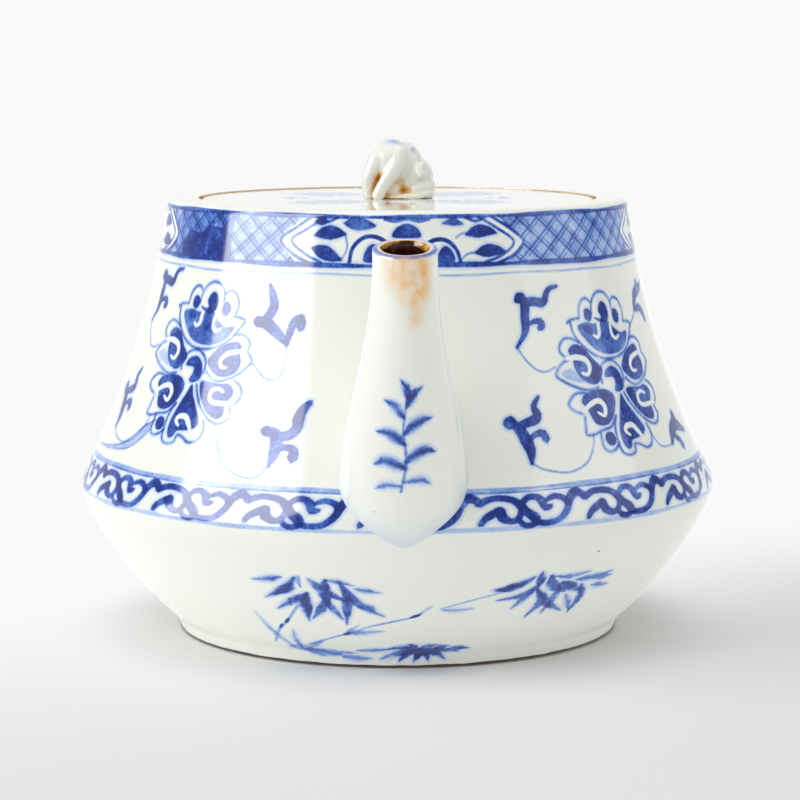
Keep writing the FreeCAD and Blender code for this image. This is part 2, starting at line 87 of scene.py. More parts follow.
class TeapotForm(bpy.types.PropertyGroup):
    """Curves and walls that the frame's corner sizes don't give."""

    wall: length("Wall", "Thickness of the thrown wall", 4.0)
    keel_round: length("Keel round", "Radius over the keel where wall and bowl meet", 9.0)
    wall_curve: length("Wall curve", "Radius of the wall's hollow sweep", 225.0)
    bowl_curve: length("Bowl curve", "Radius of the bowl's swell", 95.0)
    shoulder_draw: length("Shoulder draw", "How far the shoulder leans in over its height", 0.8)
    shoulder_round: length("Shoulder round", "Radius on the shoulder's edge", 2.0)
    foot_height: length("Foot height", "Height of the foot ring", 3.5)
    foot_flare: length("Foot flare", "How far the foot spreads out upwards", 1.3)
    base_recess: length("Base recess", "Depth of the hollow inside the foot ring", 2.8)
    floor_thick: length("Floor", "Thickness of the pot's floor", 4.6)
    lid_round: length("Lid round", "Radius on the lid's edge", 0.7)
    spout_root: length("Spout root", "Radius of the spout where it leaves the wall", 14.4)
    spout_tip: length("Spout tip", "Radius of the spout at its mouth", 7.2)
    spout_lip: length("Spout lip", "Thickness of the spout's wall at the mouth", 2.1)
    handle_width: length("Handle width", "Width of the handle's oval", 13.0)
    handle_thick: length("Handle thickness", "Thickness of the handle's oval", 8.0)
    handle_top_round: length("Handle top bend", "Radius of the handle's upper bend", 17.0)
    handle_low_round: length("Handle low bend", "Radius of the handle's lower bend", 25.0)


class TeapotGlaze(bpy.types.PropertyGroup):
    """Colours of the glaze, the cobalt and the stains."""

    glaze: colour("Glaze", "Cool white of the clear glaze over porcelain", "#F0F1E9")
    shade: colour("Glaze shade", "Greyer white where the glaze lies thick", "#E5E9E0")
    pale: colour("Pale cobalt", "Thin wash of cobalt", "#AEC4E8")
    middle: colour("Middle cobalt", "A single brush load of cobalt", "#527CC8")
    deep: colour("Deep cobalt", "Pooled cobalt", "#263F98")
    iron: colour("Iron", "Specks of iron in the clay", "#8C7A66")
    tea: colour("Tea stain", "Thin dried tea on the glaze", "#EAB052")
    crust: colour("Tea crust", "Thick old tea in the bore and the seams", "#3A1A0B")
    # Bare clay of the foot, its brown darkened as painted shadow where the foot meets the table.
    biscuit_and_contact_shadow: colour("Biscuit", "Bare fired clay of the foot", "#3E2818")


# Brushwork. A drawing is flat and in millimetres; its strokes are laid in order.

SOFT = 0.4  # width of a stroke's soft edge
BLEED = 0.75  # how far a loaded stroke bleeds into the glaze
HALO = 0.24  # share of a stroke's cobalt that bleeds
CROSSING = 0.3  # share of the thinner cobalt that shows where strokes cross
LOADED = 0.7  # half width from which a line bleeds
THINNEST = 0.06  # half width below which a line has no outline of its own
REF = 66.0  # radius at which the pot's drawings are unrolled
TURN = 2 * math.pi * REF


def curve_through(points, closed=False, step=0.7):
    """Points along a smooth curve through the given ones."""
    pts = np.array(points, float)
    n = len(pts)
    out = []
    for i in range(n if closed else n - 1):
        p1 = pts[i]
        p2 = pts[(i + 1) % n]
        p0 = pts[i - 1] if closed or i > 0 else 2 * p1 - p2
        p3 = pts[(i + 2) % n] if closed or i + 2 < n else 2 * p2 - p1
        count = max(2, int(round(np.linalg.norm(p2 - p1) / step)))
        t = (np.arange(count) / count)[:, None]
        a = 2 * p1
        b = p2 - p0
        c = 2 * p0 - 5 * p1 + 4 * p2 - p3
        d = 3 * p1 - p0 - 3 * p2 + p3
        out.append(0.5 * (a + b * t + c * t ** 2 + d * t ** 3))
    if not closed:
        out.append(pts[-1:])
    return np.concatenate(out)


def dab(ink, *points):
    """A filled shape with a soft edge."""
    return {"ink": ink, "width": None, "points": points, "clear": False}


def line(ink, width, *points):
    """A brush line; its width is a number, or a tuple of widths along it."""
    widths = width if isinstance(width, tuple) else (width, width)
    return {"ink": ink, "width": widths, "points": points, "clear": False}


def spare(width, *points):
    """A line left white through a fill."""
    return dict(line(0.0, width, *points), clear=True)


def bare(*points):
    """A shape left white."""
    return dict(dab(0.0, *points), clear=True)


def rim(*points):
    """An outline: a dark thread of cobalt in a pale one."""
    return line(.26, 1.3, *points), line(.6, .5, *points)


def leaf(ink, width, *points):
    """A leaf laid in one stroke: pointed, full, then drawn out."""
    return line(ink, tuple(width * part for part in (0.4, 1.2, 1.35, 0.8, 0.12)), *points)


def laid(ink, path, half=None, clear=False, margin=2.5):
    """A stroke in its place: a filled ring or a path with half widths, and the box it can reach."""
    return {"fill": half is None, "ink": ink, "line": path, "half": half, "clear": clear,
            "low": path.min(0) - margin, "high": path.max(0) + margin}


def drawn(strokes, shift=(0, 0), along=(1, 0), up=(0, 1), scale=(1, 1), gain=1.0, bold=1.0):
    """Strokes laid at a place: scaled, turned to two directions, made darker or bolder."""
    made = []
    basis = np.array([along, up], float)
    size = abs(scale[0] * scale[1]) ** 0.5
    for s in strokes:
        pts = np.array(s["points"], float) * scale
        pts = pts @ basis + shift
        if s["width"] is None:
            path, half = curve_through(pts, closed=True), None
        else:
            path = curve_through(pts, step=0.8)
            widths = np.array(s["width"]) * size * bold / 2
            half = np.interp(np.linspace(0, 1, len(path)), np.linspace(0, 1, len(widths)), widths)
        made.append(laid(s["ink"] * gain, path, half, s["clear"]))
    return made


def edge_of(stroke, grow):
    """Closed outline of a stroke grown by a distance, or nothing where it is too thin."""
    pts = stroke["line"]
    if stroke["fill"]:
        way = np.roll(pts, -1, 0) - np.roll(pts, 1, 0)
        way /= np.linalg.norm(way, axis=1)[:, None] + 1e-9
        turn = np.sum(pts[:, 0] * np.roll(pts[:, 1], -1) - pts[:, 1] * np.roll(pts[:, 0], -1))
        out = np.column_stack((way[:, 1], -way[:, 0])) * (1 if turn > 0 else -1)
        return pts + out * grow
    half = stroke["half"] + grow
    if half.min() <= THINNEST:
        return None
    way = np.gradient(pts, axis=0)
    way /= np.linalg.norm(way, axis=1)[:, None] + 1e-9
    side = np.column_stack((-way[:, 1], way[:, 0])) * half[:, None]
    head = pts[0] - way[0] * half[0]
    tail = pts[-1] + way[-1] * half[-1]
    return np.concatenate(((pts + side), [tail], (pts - side)[::-1], [head]))


def nearest(pts, path):
    """Distance of each point from a path, and the place along it that is nearest."""
    a = path[:-1]
    d = path[1:] - a
    rel = pts[:, None] - a[None]
    t = np.clip((rel * d).sum(-1) / ((d * d).sum(-1) + 1e-12), 0, 1)
    gap = ((rel - t[..., None] * d) ** 2).sum(-1)
    k = gap.argmin(1)
    i = np.arange(len(pts))
    return np.sqrt(gap[i, k]), k + t[i, k]


def within(pts, ring):
    """Which points lie inside a closed ring."""
    x = pts[:, :1]
    y = pts[:, 1:]
    a = ring
    b = np.roll(ring, -1, 0)
    hit = (a[:, 1] > y) != (b[:, 1] > y)
    cut = a[:, 0] + (y - a[:, 1]) * (b[:, 0] - a[:, 0]) / (b[:, 1] - a[:, 1] + 1e-12)
    return (hit & (x < cut)).sum(1) % 2 == 1


def spreads(stroke):
    """Whether a stroke is loaded enough to bleed into the glaze."""
    return not stroke["clear"] and (stroke["fill"] or stroke["half"].max() > LOADED)


def ink_at(pts, strokes):
    """Cobalt lying at each point once all strokes are laid."""
    ink = np.zeros(len(pts))
    for s in strokes:
        near = np.nonzero(((pts > s["low"]) & (pts < s["high"])).all(1))[0]
        if not len(near):
            continue
        spot = pts[near]
        if s["fill"]:
            away = nearest(spot, np.concatenate((s["line"], s["line"][:1])))[0]
            away = np.where(within(spot, s["line"]), -away, away)
        else:
            away, place = nearest(spot, s["line"])
            away = away - np.interp(place, np.arange(len(s["half"])), s["half"])
        cover = np.clip(0.5 - away / SOFT, 0, 1)
        if s["clear"]:
            ink[near] *= 1 - cover
            continue
        held = ink[near]
        if spreads(s):
            fade = 1 - np.clip((away - SOFT / 2) / BLEED, 0, 1)
            held = np.maximum(held, HALO * s["ink"] * fade)
        more = np.maximum(s["ink"] - held, 0) + CROSSING * np.minimum(held, s["ink"])
        ink[near] = np.minimum(held + cover * more, 1)
    return ink


def lay_sheet(strokes, grid, rings, keep):
    """Triangles of a flat drawing: its grid, its borders and the edges of its strokes."""
    points = [grid]
    edges = []
    count = len(grid)

    def trace(path, closed=True):
        nonlocal count
        points.append(path)
        n = len(path)
        edges.extend((count + i, count + (i + 1) % n) for i in range(n if closed else n - 1))
        count += n

    for path, closed in rings:
        trace(path, closed)
    for s in strokes:
        for grow in (-SOFT / 2, SOFT / 2) + ((SOFT / 2 + BLEED,) if spreads(s) else ()):
            path = edge_of(s, grow)
            if path is None:
                trace(s["line"], False)
            else:
                trace(path)
    flat = [Vector(p) for p in np.concatenate(points)]
    made = delaunay_2d_cdt(flat, edges, [], 0, 1e-4, False)
    pts = np.array([tuple(v) for v in made[0]])
    tris = np.array([f for f in made[2] if len(f) == 3])
    tris = tris[keep(pts[tris].mean(1))]
    e1 = pts[tris[:, 1]] - pts[tris[:, 0]]
    e2 = pts[tris[:, 2]] - pts[tris[:, 0]]
    area = e1[:, 0] * e2[:, 1] - e1[:, 1] * e2[:, 0]
    tris[area < 0] = tris[area < 0][:, ::-1]
    tris = tris[np.abs(area) > 1e-9]
    used, back = np.unique(tris, return_inverse=True)
    return pts[used], back.reshape(-1, 3)


# One lotus, its centre at the origin: white gaps part each fill from its outline, white curls run
# into the fills.

LOTUS = (
    *rim((-11.6, 14.3), (-10.1, 15), (-7.3, 15.3)),
    *rim((-10.5, 14.3), (-10.1, 11.8), (-8.4, 9.3), (-5.5, 6.8), (-2.3, 5.3), (.9, 4.8), (4.5, 5),
         (8.1, 6.1), (10.9, 7.8), (13.2, 10.3), (14.5, 12.5), (11.6, 13.2)),
    *rim((-2.3, 15.9), (-1.8, 18.2), (-.1, 20.3), (2.4, 21.1), (4.9, 20.5), (6.5, 18.6),
         (6.6, 16.4)),
    *rim((-7.1, 15.3), (-6.6, 17.8), (-5.1, 19.5), (-3.4, 19.8), (-2.1, 18.9)),
    *rim((6.6, 18.3), (8.4, 19.3), (10.6, 18.6), (11.8, 16.4), (11.5, 14.3), (10.9, 13.1)),
    *rim((-13.4, 5.7), (-15.4, 7.5), (-15.1, 9.3), (-13.4, 10.7), (-10.9, 10.5), (-8.9, 9.5)),
    *rim((-13.4, 5.7), (-15.9, 4.5), (-17.8, 2.1), (-15.5, .3), (-12.6, -1.1), (-9.1, -2.1),
         (-5.5, -1.7)),
    *rim((-10.1, -2.7), (-13.4, -2.7), (-15.9, -5), (-14.4, -6.9), (-12.3, -7.5)),
    *rim((-12.1, -8.4), (-12.6, -11.1), (-12.8, -12.7), (-10.5, -12.8), (-8.4, -12.2),
         (-4.8, -11.4), (-2.6, -9.3)),
    *rim((-8.7, -12.7), (-8.9, -16.1), (-7.5, -17.4), (-5.4, -16.9), (-3.9, -15.7)),
    *rim((-2.3, -8.9), (-3.7, -11.8), (-4.1, -15.4), (-3.4, -18.2), (-1.2, -18.9), (.8, -18.1),
         (1.1, -16.5), (3.1, -16.8), (5.2, -17.9), (7.5, -17.2), (8.8, -14.7), (8.1, -12.2)),
    *rim((14.5, -1.9), (16.4, -3.2), (17.2, -5), (16.3, -7.2), (14.6, -8.2), (15.2, -10.4),
         (13.8, -12.2), (11.6, -12.7), (8.8, -11.4), (6.1, -8.9), (4.1, -6.1), (3.1, -3.9)),
    *rim((12, 8.8), (14.1, 9.1), (16.3, 8.2), (17.2, 6.8), (16.8, 5.2), (18.4, 3.2), (17.7, 1.8),
         (15.2, -.4), (12.4, -1.8), (9.5, -2.5), (7.4, -2), (5.4, -.4)),
    *rim((-3.9, -.7), (-4.1, 1.1), (-3, 3.2), (-.9, 4.3), (1.6, 4.3), (3.8, 2.8), (4.6, .9),
         (4.4, -.9)),
    dab(.66, (-8.2, 13.4), (-6.2, 14), (-4.1, 14.1), (-2.4, 13.6), (.2, 13.8), (2.4, 14.3),
        (4.4, 13.4), (6.6, 11.4), (8.8, 10.6), (11.5, 10.7), (10.4, 8.6), (8.1, 6.8), (4.5, 5.9),
        (.9, 5.9), (-2.3, 6.7), (-4.8, 8.4), (-6.8, 10.5), (-7.9, 11.9)),
    dab(.5, (-6.6, 13.2), (-4.2, 13.4), (-2.9, 12.4), (-3.4, 11), (-5.2, 11.4)),
    dab(.5, (1, 12.6), (2.4, 13.4), (3.4, 12.4), (3, 9.6), (1.6, 9.2), (.6, 10.6)),
    spare((.8, 1.2, 1.2, 1, .7), (.3, 15), (-.6, 12.8), (-.7, 11.1), (-1.9, 10.2), (-3, 10.8)),
    spare((.8, 1.1, 1.1, 1, .7), (5.2, 14.6), (4.3, 12), (4.6, 10), (5.8, 9.4), (7.2, 10)),
    bare((5, 14.2), (6.2, 12.6), (8, 11.4), (10, 11.2), (10, 12.4), (7, 13.4)),
    dab(.74, (5.4, 11.4), (6.4, 11.6), (7.2, 10.9), (6.6, 10.1), (5.6, 10.4)),
    dab(.84, (1.1, 17.6), (2.4, 18.7), (3.9, 18.2), (4.6, 16.8), (4.5, 15), (3.5, 13.8), (2, 13.3),
        (1, 13.9), (1.4, 15.1), (.7, 16.4)),
    line(.76, (.5, .9, 1), (-1.5, 15), (-.2, 14.4), (1.2, 14.2)),
    dab(.84, (-5.2, 16.1), (-4.8, 17.2), (-3.4, 17.4), (-2.3, 16.4), (-2.6, 14.9), (-3.7, 14.2),
        (-5, 14.8)),
    dab(.8, (6.5, 15.7), (7.4, 16.6), (8.7, 16.3), (9.5, 15), (8.9, 13.5), (7.7, 13), (6.5, 13.9)),
    dab(.78, (-12.9, 7.6), (-11.2, 9), (-9, 8.9), (-7, 7.5), (-5.3, 5.3), (-3.1, 3.2), (-2.8, 2.1),
        (-4, .4), (-5.6, -.8), (-7.5, -.8), (-9.7, .2), (-11.3, 2.1), (-11.9, 3.6), (-11.9, 5.7)),
    dab(.5, (-8, 6.8), (-6.4, 5.4), (-4.2, 3), (-4, 1.4), (-5.8, .2), (-6.8, 1.6), (-6, 3.6)),
    dab(.32, (-16.2, 2.5), (-13.4, 3.4), (-11.6, 2.1), (-9.8, -.2), (-12.6, .3), (-15.1, 1.2)),
    spare((.9, 1.5, 1.5, 1.2, .8), (-13.8, 5.9), (-10.5, 6), (-7.7, 5.1), (-7, 3.1), (-8.2, 1.6),
          (-9.8, 2.1)),
    dab(.78, (-12, -4.9), (-10.9, -3.2), (-8, -2.3), (-4.1, -2.3), (-1.6, -3.4), (-1, -5),
        (-2, -7.5), (-3.9, -9.8), (-6.2, -10.9), (-8.8, -10.6), (-9.9, -9.3), (-10.5, -7.5),
        (-11, -6.1)),
    dab(.5, (-6, -3.2), (-3.2, -3.2), (-2, -4.8), (-2.8, -7), (-4.6, -9), (-4.4, -6.4)),
    spare((.9, 1.3, 1.4, 1.2, .7), (-12.2, -7.1), (-9.4, -5.5), (-6.8, -4.9), (-5.2, -6.4),
          (-6, -8.6), (-7.8, -7.7)),
    dab(.78, (4.2, -3.1), (6.6, -2.7), (9.9, -3.1), (12.7, -2.8), (14.6, -4.1), (14.6, -5.9),
        (13.3, -7.5), (13.2, -10.4), (11.6, -11.5), (8.8, -10.5), (6.4, -8.2), (4.8, -5.5)),
    spare((.7, 1.1, 1.2, 1.2, 1.1), (12, -4.9), (10.2, -4.2), (8.4, -4.9), (8.2, -6.7), (9.5, -7.6),
          (11.6, -7.7), (15, -7.5)),
    dab(.76, (5, 2.1), (6.3, 4.2), (8.1, 5.7), (10.9, 6.9), (13.4, 7.3), (14.8, 6.2), (14.6, 4.6),
        (15.3, 2.5), (14.6, .2), (12.7, -1), (10.2, -1.4), (8.1, -.9), (6.2, .4)),
    spare((.9, 1.2, 1.3, 1.2, .7), (15.8, 5.2), (13.1, 4.8), (10.6, 4.1), (9.1, 2.5), (9.7, 1),
          (11.4, .9)),
    dab(.78, (1.6, -3.9), (2.7, -6.2), (4.5, -8.9), (6.4, -11.8), (6.8, -13.4), (5.4, -14.6),
        (3.1, -15.1), (.7, -15.5), (0, -16.9), (-1.4, -17.5), (-2.5, -15.9), (-2.5, -12.9),
        (-1.3, -9.7), (.1, -6.8)),
    spare((.8, 1.4, 1.5, 1.3, .7), (5, -15.2), (3.8, -13.4), (2.4, -11.9), (.2, -11.9),
          (-.6, -13.1), (.7, -14.2)),
    dab(.84, (-7.8, -14.4), (-6.9, -12.8), (-5.2, -12.9), (-4.5, -14.3), (-5.2, -15.8),
        (-6.9, -15.9)),
    dab(.76, (-2.5, .5), (-1.7, 2.2), (.6, 3), (2.8, 1.9), (4, -.7), (3.5, -2.6), (1.3, -3.5),
        (-.1, -3), (.8, -1.2), (.6, .2), (-.9, .4)),
)

FLOURISH = (
    dab(.88, (-26.6, 20.6), (-25.7, 22.2), (-24.1, 22.1), (-23.5, 20.7), (-24.6, 19.8),
        (-26.2, 19.9)),
    line(.82, (1.9, 2.2, 2.1, 2, 1.5, .9, .7), (-24.2, 21.1), (-23.7, 18.9), (-24.1, 16.4),
         (-24.2, 14.3), (-24.9, 12.3), (-26.2, 10.7), (-27.3, 9.4)),
    line(.82, (1.9, 1.9, 1.9, 1.7, 1.3, 1, .7), (-23.4, 20), (-20.9, 20), (-18.5, 19.6),
         (-17.4, 20.5), (-16.8, 21.8), (-15.4, 22.9), (-13, 23.3)),
    line(.8, (.9, .9, 1.4, 1.9, 1.4), (-23.5, 14.6), (-21.6, 15.3), (-19.9, 15.2), (-19.5, 14.3),
         (-20.1, 13.6)),
    line(.5, .5, (-27.3, 9.4), (-25.5, 6.4), (-23, 3.9), (-20.5, 3.2), (-17.6, 4.1)),
)

FLOURISH_LOW = (
    dab(.88, (-33.4, -8.7), (-32.8, -7.3), (-31.2, -6.7), (-30.2, -7.9), (-30.5, -9.4),
        (-32.2, -10)),
    line(.82, (1.8, 2.4, 2.6, 1.8, .7), (-30.9, -8.6), (-29.4, -10.7), (-28.5, -12.9),
         (-27.9, -15.4), (-28.2, -18.2)),
    line(.82, (1.7, 1.8, 2, 1.8, 1.2, .7), (-29.8, -9.3), (-27.6, -8.6), (-25.5, -7.9),
         (-24.8, -6.7), (-25.3, -4.7), (-23.7, -2.5)),
    line(.8, (.9, 1.1, 1.7, 1.7), (-28, -12.9), (-26.2, -11.5), (-24.2, -11.4), (-23.8, -12.8)),
    line(.42, .5, (-28.2, -18.2), (-25.5, -20), (-19.8, -21.1), (-14.8, -19.3), (-11.9, -15.7),
         (-10.9, -12.9)),
)

LEAVES_LEFT = FLOURISH + FLOURISH_LOW

LEAVES_RIGHT = (
    line(.5, .5, (14.5, 11.8), (18.1, 13.9), (19.9, 15.5)),
    line(.78, (1.2, 2, 2.4, 1.6, .7), (19.9, 15.5), (22.4, 18.6), (25.9, 19.8), (29.5, 20.3),
         (32, 21.6)),
    dab(.8, (25.4, 20.6), (26, 22.2), (27.6, 22.2), (28, 20.6)),
    line(.78, (1.2, 1.7, 2.2, 2), (20.9, 15.3), (23.8, 15.5), (25.9, 14.1), (26.8, 12.3)),
    line(.45, .5, (8.8, -14.9), (10.9, -18.2), (14.5, -18.9), (17, -18.6)),
    line(.8, (.8, 2.6, 3, 2.6, 1), (17, -18.6), (19.5, -15.9), (22.4, -14.5), (25.2, -15.2),
         (28.8, -16.9)),
    dab(.82, (22.4, -13.4), (23, -11.4), (24.4, -11), (25, -12.6), (24.4, -14)),
    line(.78, (1.4, 1.6, 2), (20.6, -17.5), (22.4, -18.6), (22.9, -20.2)),
)

LEAVES_SPOUT_SIDE = (
    line(.8, (.7, 1.8, 2.4, 2.4, 2), (20.6, 21.4), (21.9, 18.6), (22.5, 16.4), (21.6, 14.2),
         (20.2, 12.8)),
    dab(.84, (17, 12), (17.6, 13.6), (19.2, 13.6), (20, 12.2), (18.8, 11)),
    line(.8, (2.2, 2.6, 2.6, 2.2, 1.2), (18.8, 12.4), (20.8, 12.2), (22.9, 11), (25, 9.4),
         (27.1, 7.6)),
    line(.8, (1.1, 1.7, 1.9, 2), (27.1, 7.6), (27.7, 10.4), (28.6, 12.8), (30.2, 13.6)),
    dab(.92, (29.2, 13.4), (30.4, 14.4), (31.6, 13.2), (31.4, 11.2), (30.2, 10.4), (29.2, 11.6)),
    line(.45, .5, (27.1, 7.6), (27.4, 3), (26.2, -.6), (22.9, -.9), (18.6, 2.5)),
    dab(.84, (23.8, -13.6), (24.4, -12.2), (26, -12.2), (26.6, -13.6), (25.2, -14.6)),
    line(.8, (2, 2.6, 2.8, 2, .7), (25.4, -13.4), (27.4, -13.9), (28.2, -16.2), (27.9, -18.8),
         (27.2, -21.6)),
    line(.88, (1.8, 2.2, 2.2, 2.4, 2, 1.2), (27.6, -14.4), (30.2, -14.2), (32.2, -12.6),
         (32.4, -10.2), (33.2, -7.8), (34.8, -6)),
    line(.84, (1.1, 1.4, 1.8, 2.2), (28.2, -17.8), (30.4, -16.9), (32.3, -17.6), (32.2, -19.6)),
    line(.45, .5, (27.2, -21.6), (25.2, -24.2), (22.1, -24.8), (16.4, -22.1), (12.9, -15.7)),
)

# One cartouche of the upper band, drawn at a girth radius of 60 mm: pointed ends, leaves and
# scallops.

CARTOUCHE = (
    bare((-30.4, 68.6), (-26.6, 72), (-21, 74.6), (0, 74.8), (21, 74.6), (26.6, 72), (30.6, 68.4),
         (27.6, 65), (22.4, 63), (0, 62.9), (-22.4, 63), (-27.4, 65.2)),
    line(.72, .75, (-22, 74.3), (-26, 71.6), (-30, 68.6), (-26.6, 65.4), (-22, 63.2)),
    line(.72, .75, (22, 74.3), (26.6, 71.6), (30.4, 68.2), (27.4, 65), (23, 63.2)),
    line(.66, .65, (-18.6, 74.2), (-23, 71.4), (-27.1, 68.6), (-23.6, 65.6), (-19, 63.4)),
    line(.66, .65, (18.8, 74.2), (23.6, 71.4), (27.8, 68.2), (24.6, 65.2), (19.6, 63.4)),
    line(.82, (.6, 2.3, 3.1, 2, .5), (-21, 69.9), (-19, 70.4), (-17.2, 70.6), (-15.4, 70.5),
         (-13.6, 70.2)),
    line(.66, (.6, 2.4, 3, 2, .5), (-13.8, 72.7), (-11.6, 72.8), (-9.8, 72.6), (-8, 72.4),
         (-6.4, 72.2)),
    line(.82, (.6, 2.4, 3.2, 2.1, .5), (-21.6, 66.9), (-19.8, 66.3), (-17.8, 65.6), (-16.2, 64.9),
         (-14.4, 64.2)),
    line(.45, .5, (-14.4, 64.2), (-13, 67), (-13.6, 70.2)),
    line(.82, (.6, 2.2, 2.8, 1.9, .5), (15.6, 70.1), (17.4, 70.6), (19.4, 70.9), (21.2, 70.8),
         (23.2, 70.4)),
    line(.82, (.6, 2.2, 2.8, 1.9, .5), (17.8, 65.8), (19.6, 66.1), (21.6, 66.3), (23.4, 66.2),
         (25.3, 65.9)),
    line(.5, .5, (13.7, 63.8), (15.4, 65.4), (18, 66)),
    line(.45, .5, (13, 69.4), (14.4, 70.4), (16, 70.3)),
    line(.8, .9, (-12.4, 63.8), (-11.6, 67.2), (-8.8, 69.6), (-5.4, 69.4), (-2.6, 67.2),
         (-1.6, 63.8)),
    line(.8, .9, (4.2, 63.8), (5, 66.8), (7.4, 68.8), (10.6, 68.8), (13, 66.6), (13.8, 63.8)),
    dab(.86, (-8.9, 63.9), (-8.5, 66.6), (-7, 68), (-5.4, 66.8), (-4.9, 63.9)),
    dab(.86, (8.4, 63.9), (8.9, 66.2), (10.4, 67.5), (12, 66.2), (12.4, 63.9)),
    dab(.84, (-2.2, 69.7), (-1.4, 71.7), (1.2, 72.8), (3.6, 71.8), (4.5, 69.7), (1.2, 69.4)),
    line(.66, .9, (-4, 73.9), (-1.6, 73.4), (1.2, 74), (4, 73.4), (6.6, 73.9)),
    line(.6, (.5, 1.8, .5), (9.8, 72.8), (12.2, 73.1), (14.8, 72.6)),
    line(.7, .7, (-20.4, 74.1), (-18, 73.1), (-15.6, 74.1)),
    line(.62, .7, (15.4, 74.1), (18, 73.2), (20.6, 74.1)),
    dab(.8, (-21.4, 73), (-19.6, 73.9), (-17.6, 73.2), (-19.4, 72.2)),
)

# One turn of the scroll above the keel, drawn at a girth radius of 78 mm.

SCROLL = (
    line(.8, (1.5, 1.4, 1.4, 1.5, 2, 1.6, 1.3), (-.4, 6.4), (2.1, 7.5), (5, 7.7), (7.9, 7.1),
         (9.6, 5.7), (11.1, 3.8), (13.2, 1.6)),
    line(.76, (1.3, 1.3, 1.3, 1.4, 1.5, 1.8, 2.1, 1.6), (13.2, 1.6), (15, 1.3), (17.9, 1.5),
         (20, 2.6), (21.6, 4.3), (22.3, 5.9), (23.9, 7.6), (25.4, 7.9), (27.1, 6.8)),
    line(.82, (1.1, 1.4, 1.7, 1.4), (-.4, 1.6), (.7, 2.9), (2.9, 4.1), (4.6, 5)),
    line(.84, (1.8, 2.1, 1.4, 1.2, 1.3, 1.5), (4.2, 4.6), (4.9, 3.1), (6.8, 2.1), (8.6, 2.6),
         (9.6, 4.1), (9.9, 5.4)),
    line(.78, (1.1, 1.2, 1.3, 1.3, 1.2, 1.1), (8.6, 2.6), (9.6, 1.3), (11.4, .9), (13.4, 1.9),
         (12.9, 3.3), (11.1, 4.5)),
    line(.8, (1.2, 1.3, 1.4, 1.9, 1.9, 1), (10.2, 6.4), (12.1, 7.6), (14.3, 7.4), (15.4, 6.1),
         (15.9, 4.9), (17.3, 5.1)),
    line(.76, (1, 1.3, 1.4, 1.5), (16.8, 6.8), (18.9, 7.4), (21.1, 6.7), (22.1, 5.4)),
    dab(.88, (23.4, 7.6), (24.6, 9), (26.2, 8.6), (26.6, 7.2), (25, 6.8)),
    dab(.86, (3.4, 4.2), (4.6, 5.8), (5.8, 4.8), (5.6, 3.2), (4.2, 2.8)),
)

# Bamboo on the bowl, its heights running down from the keel.

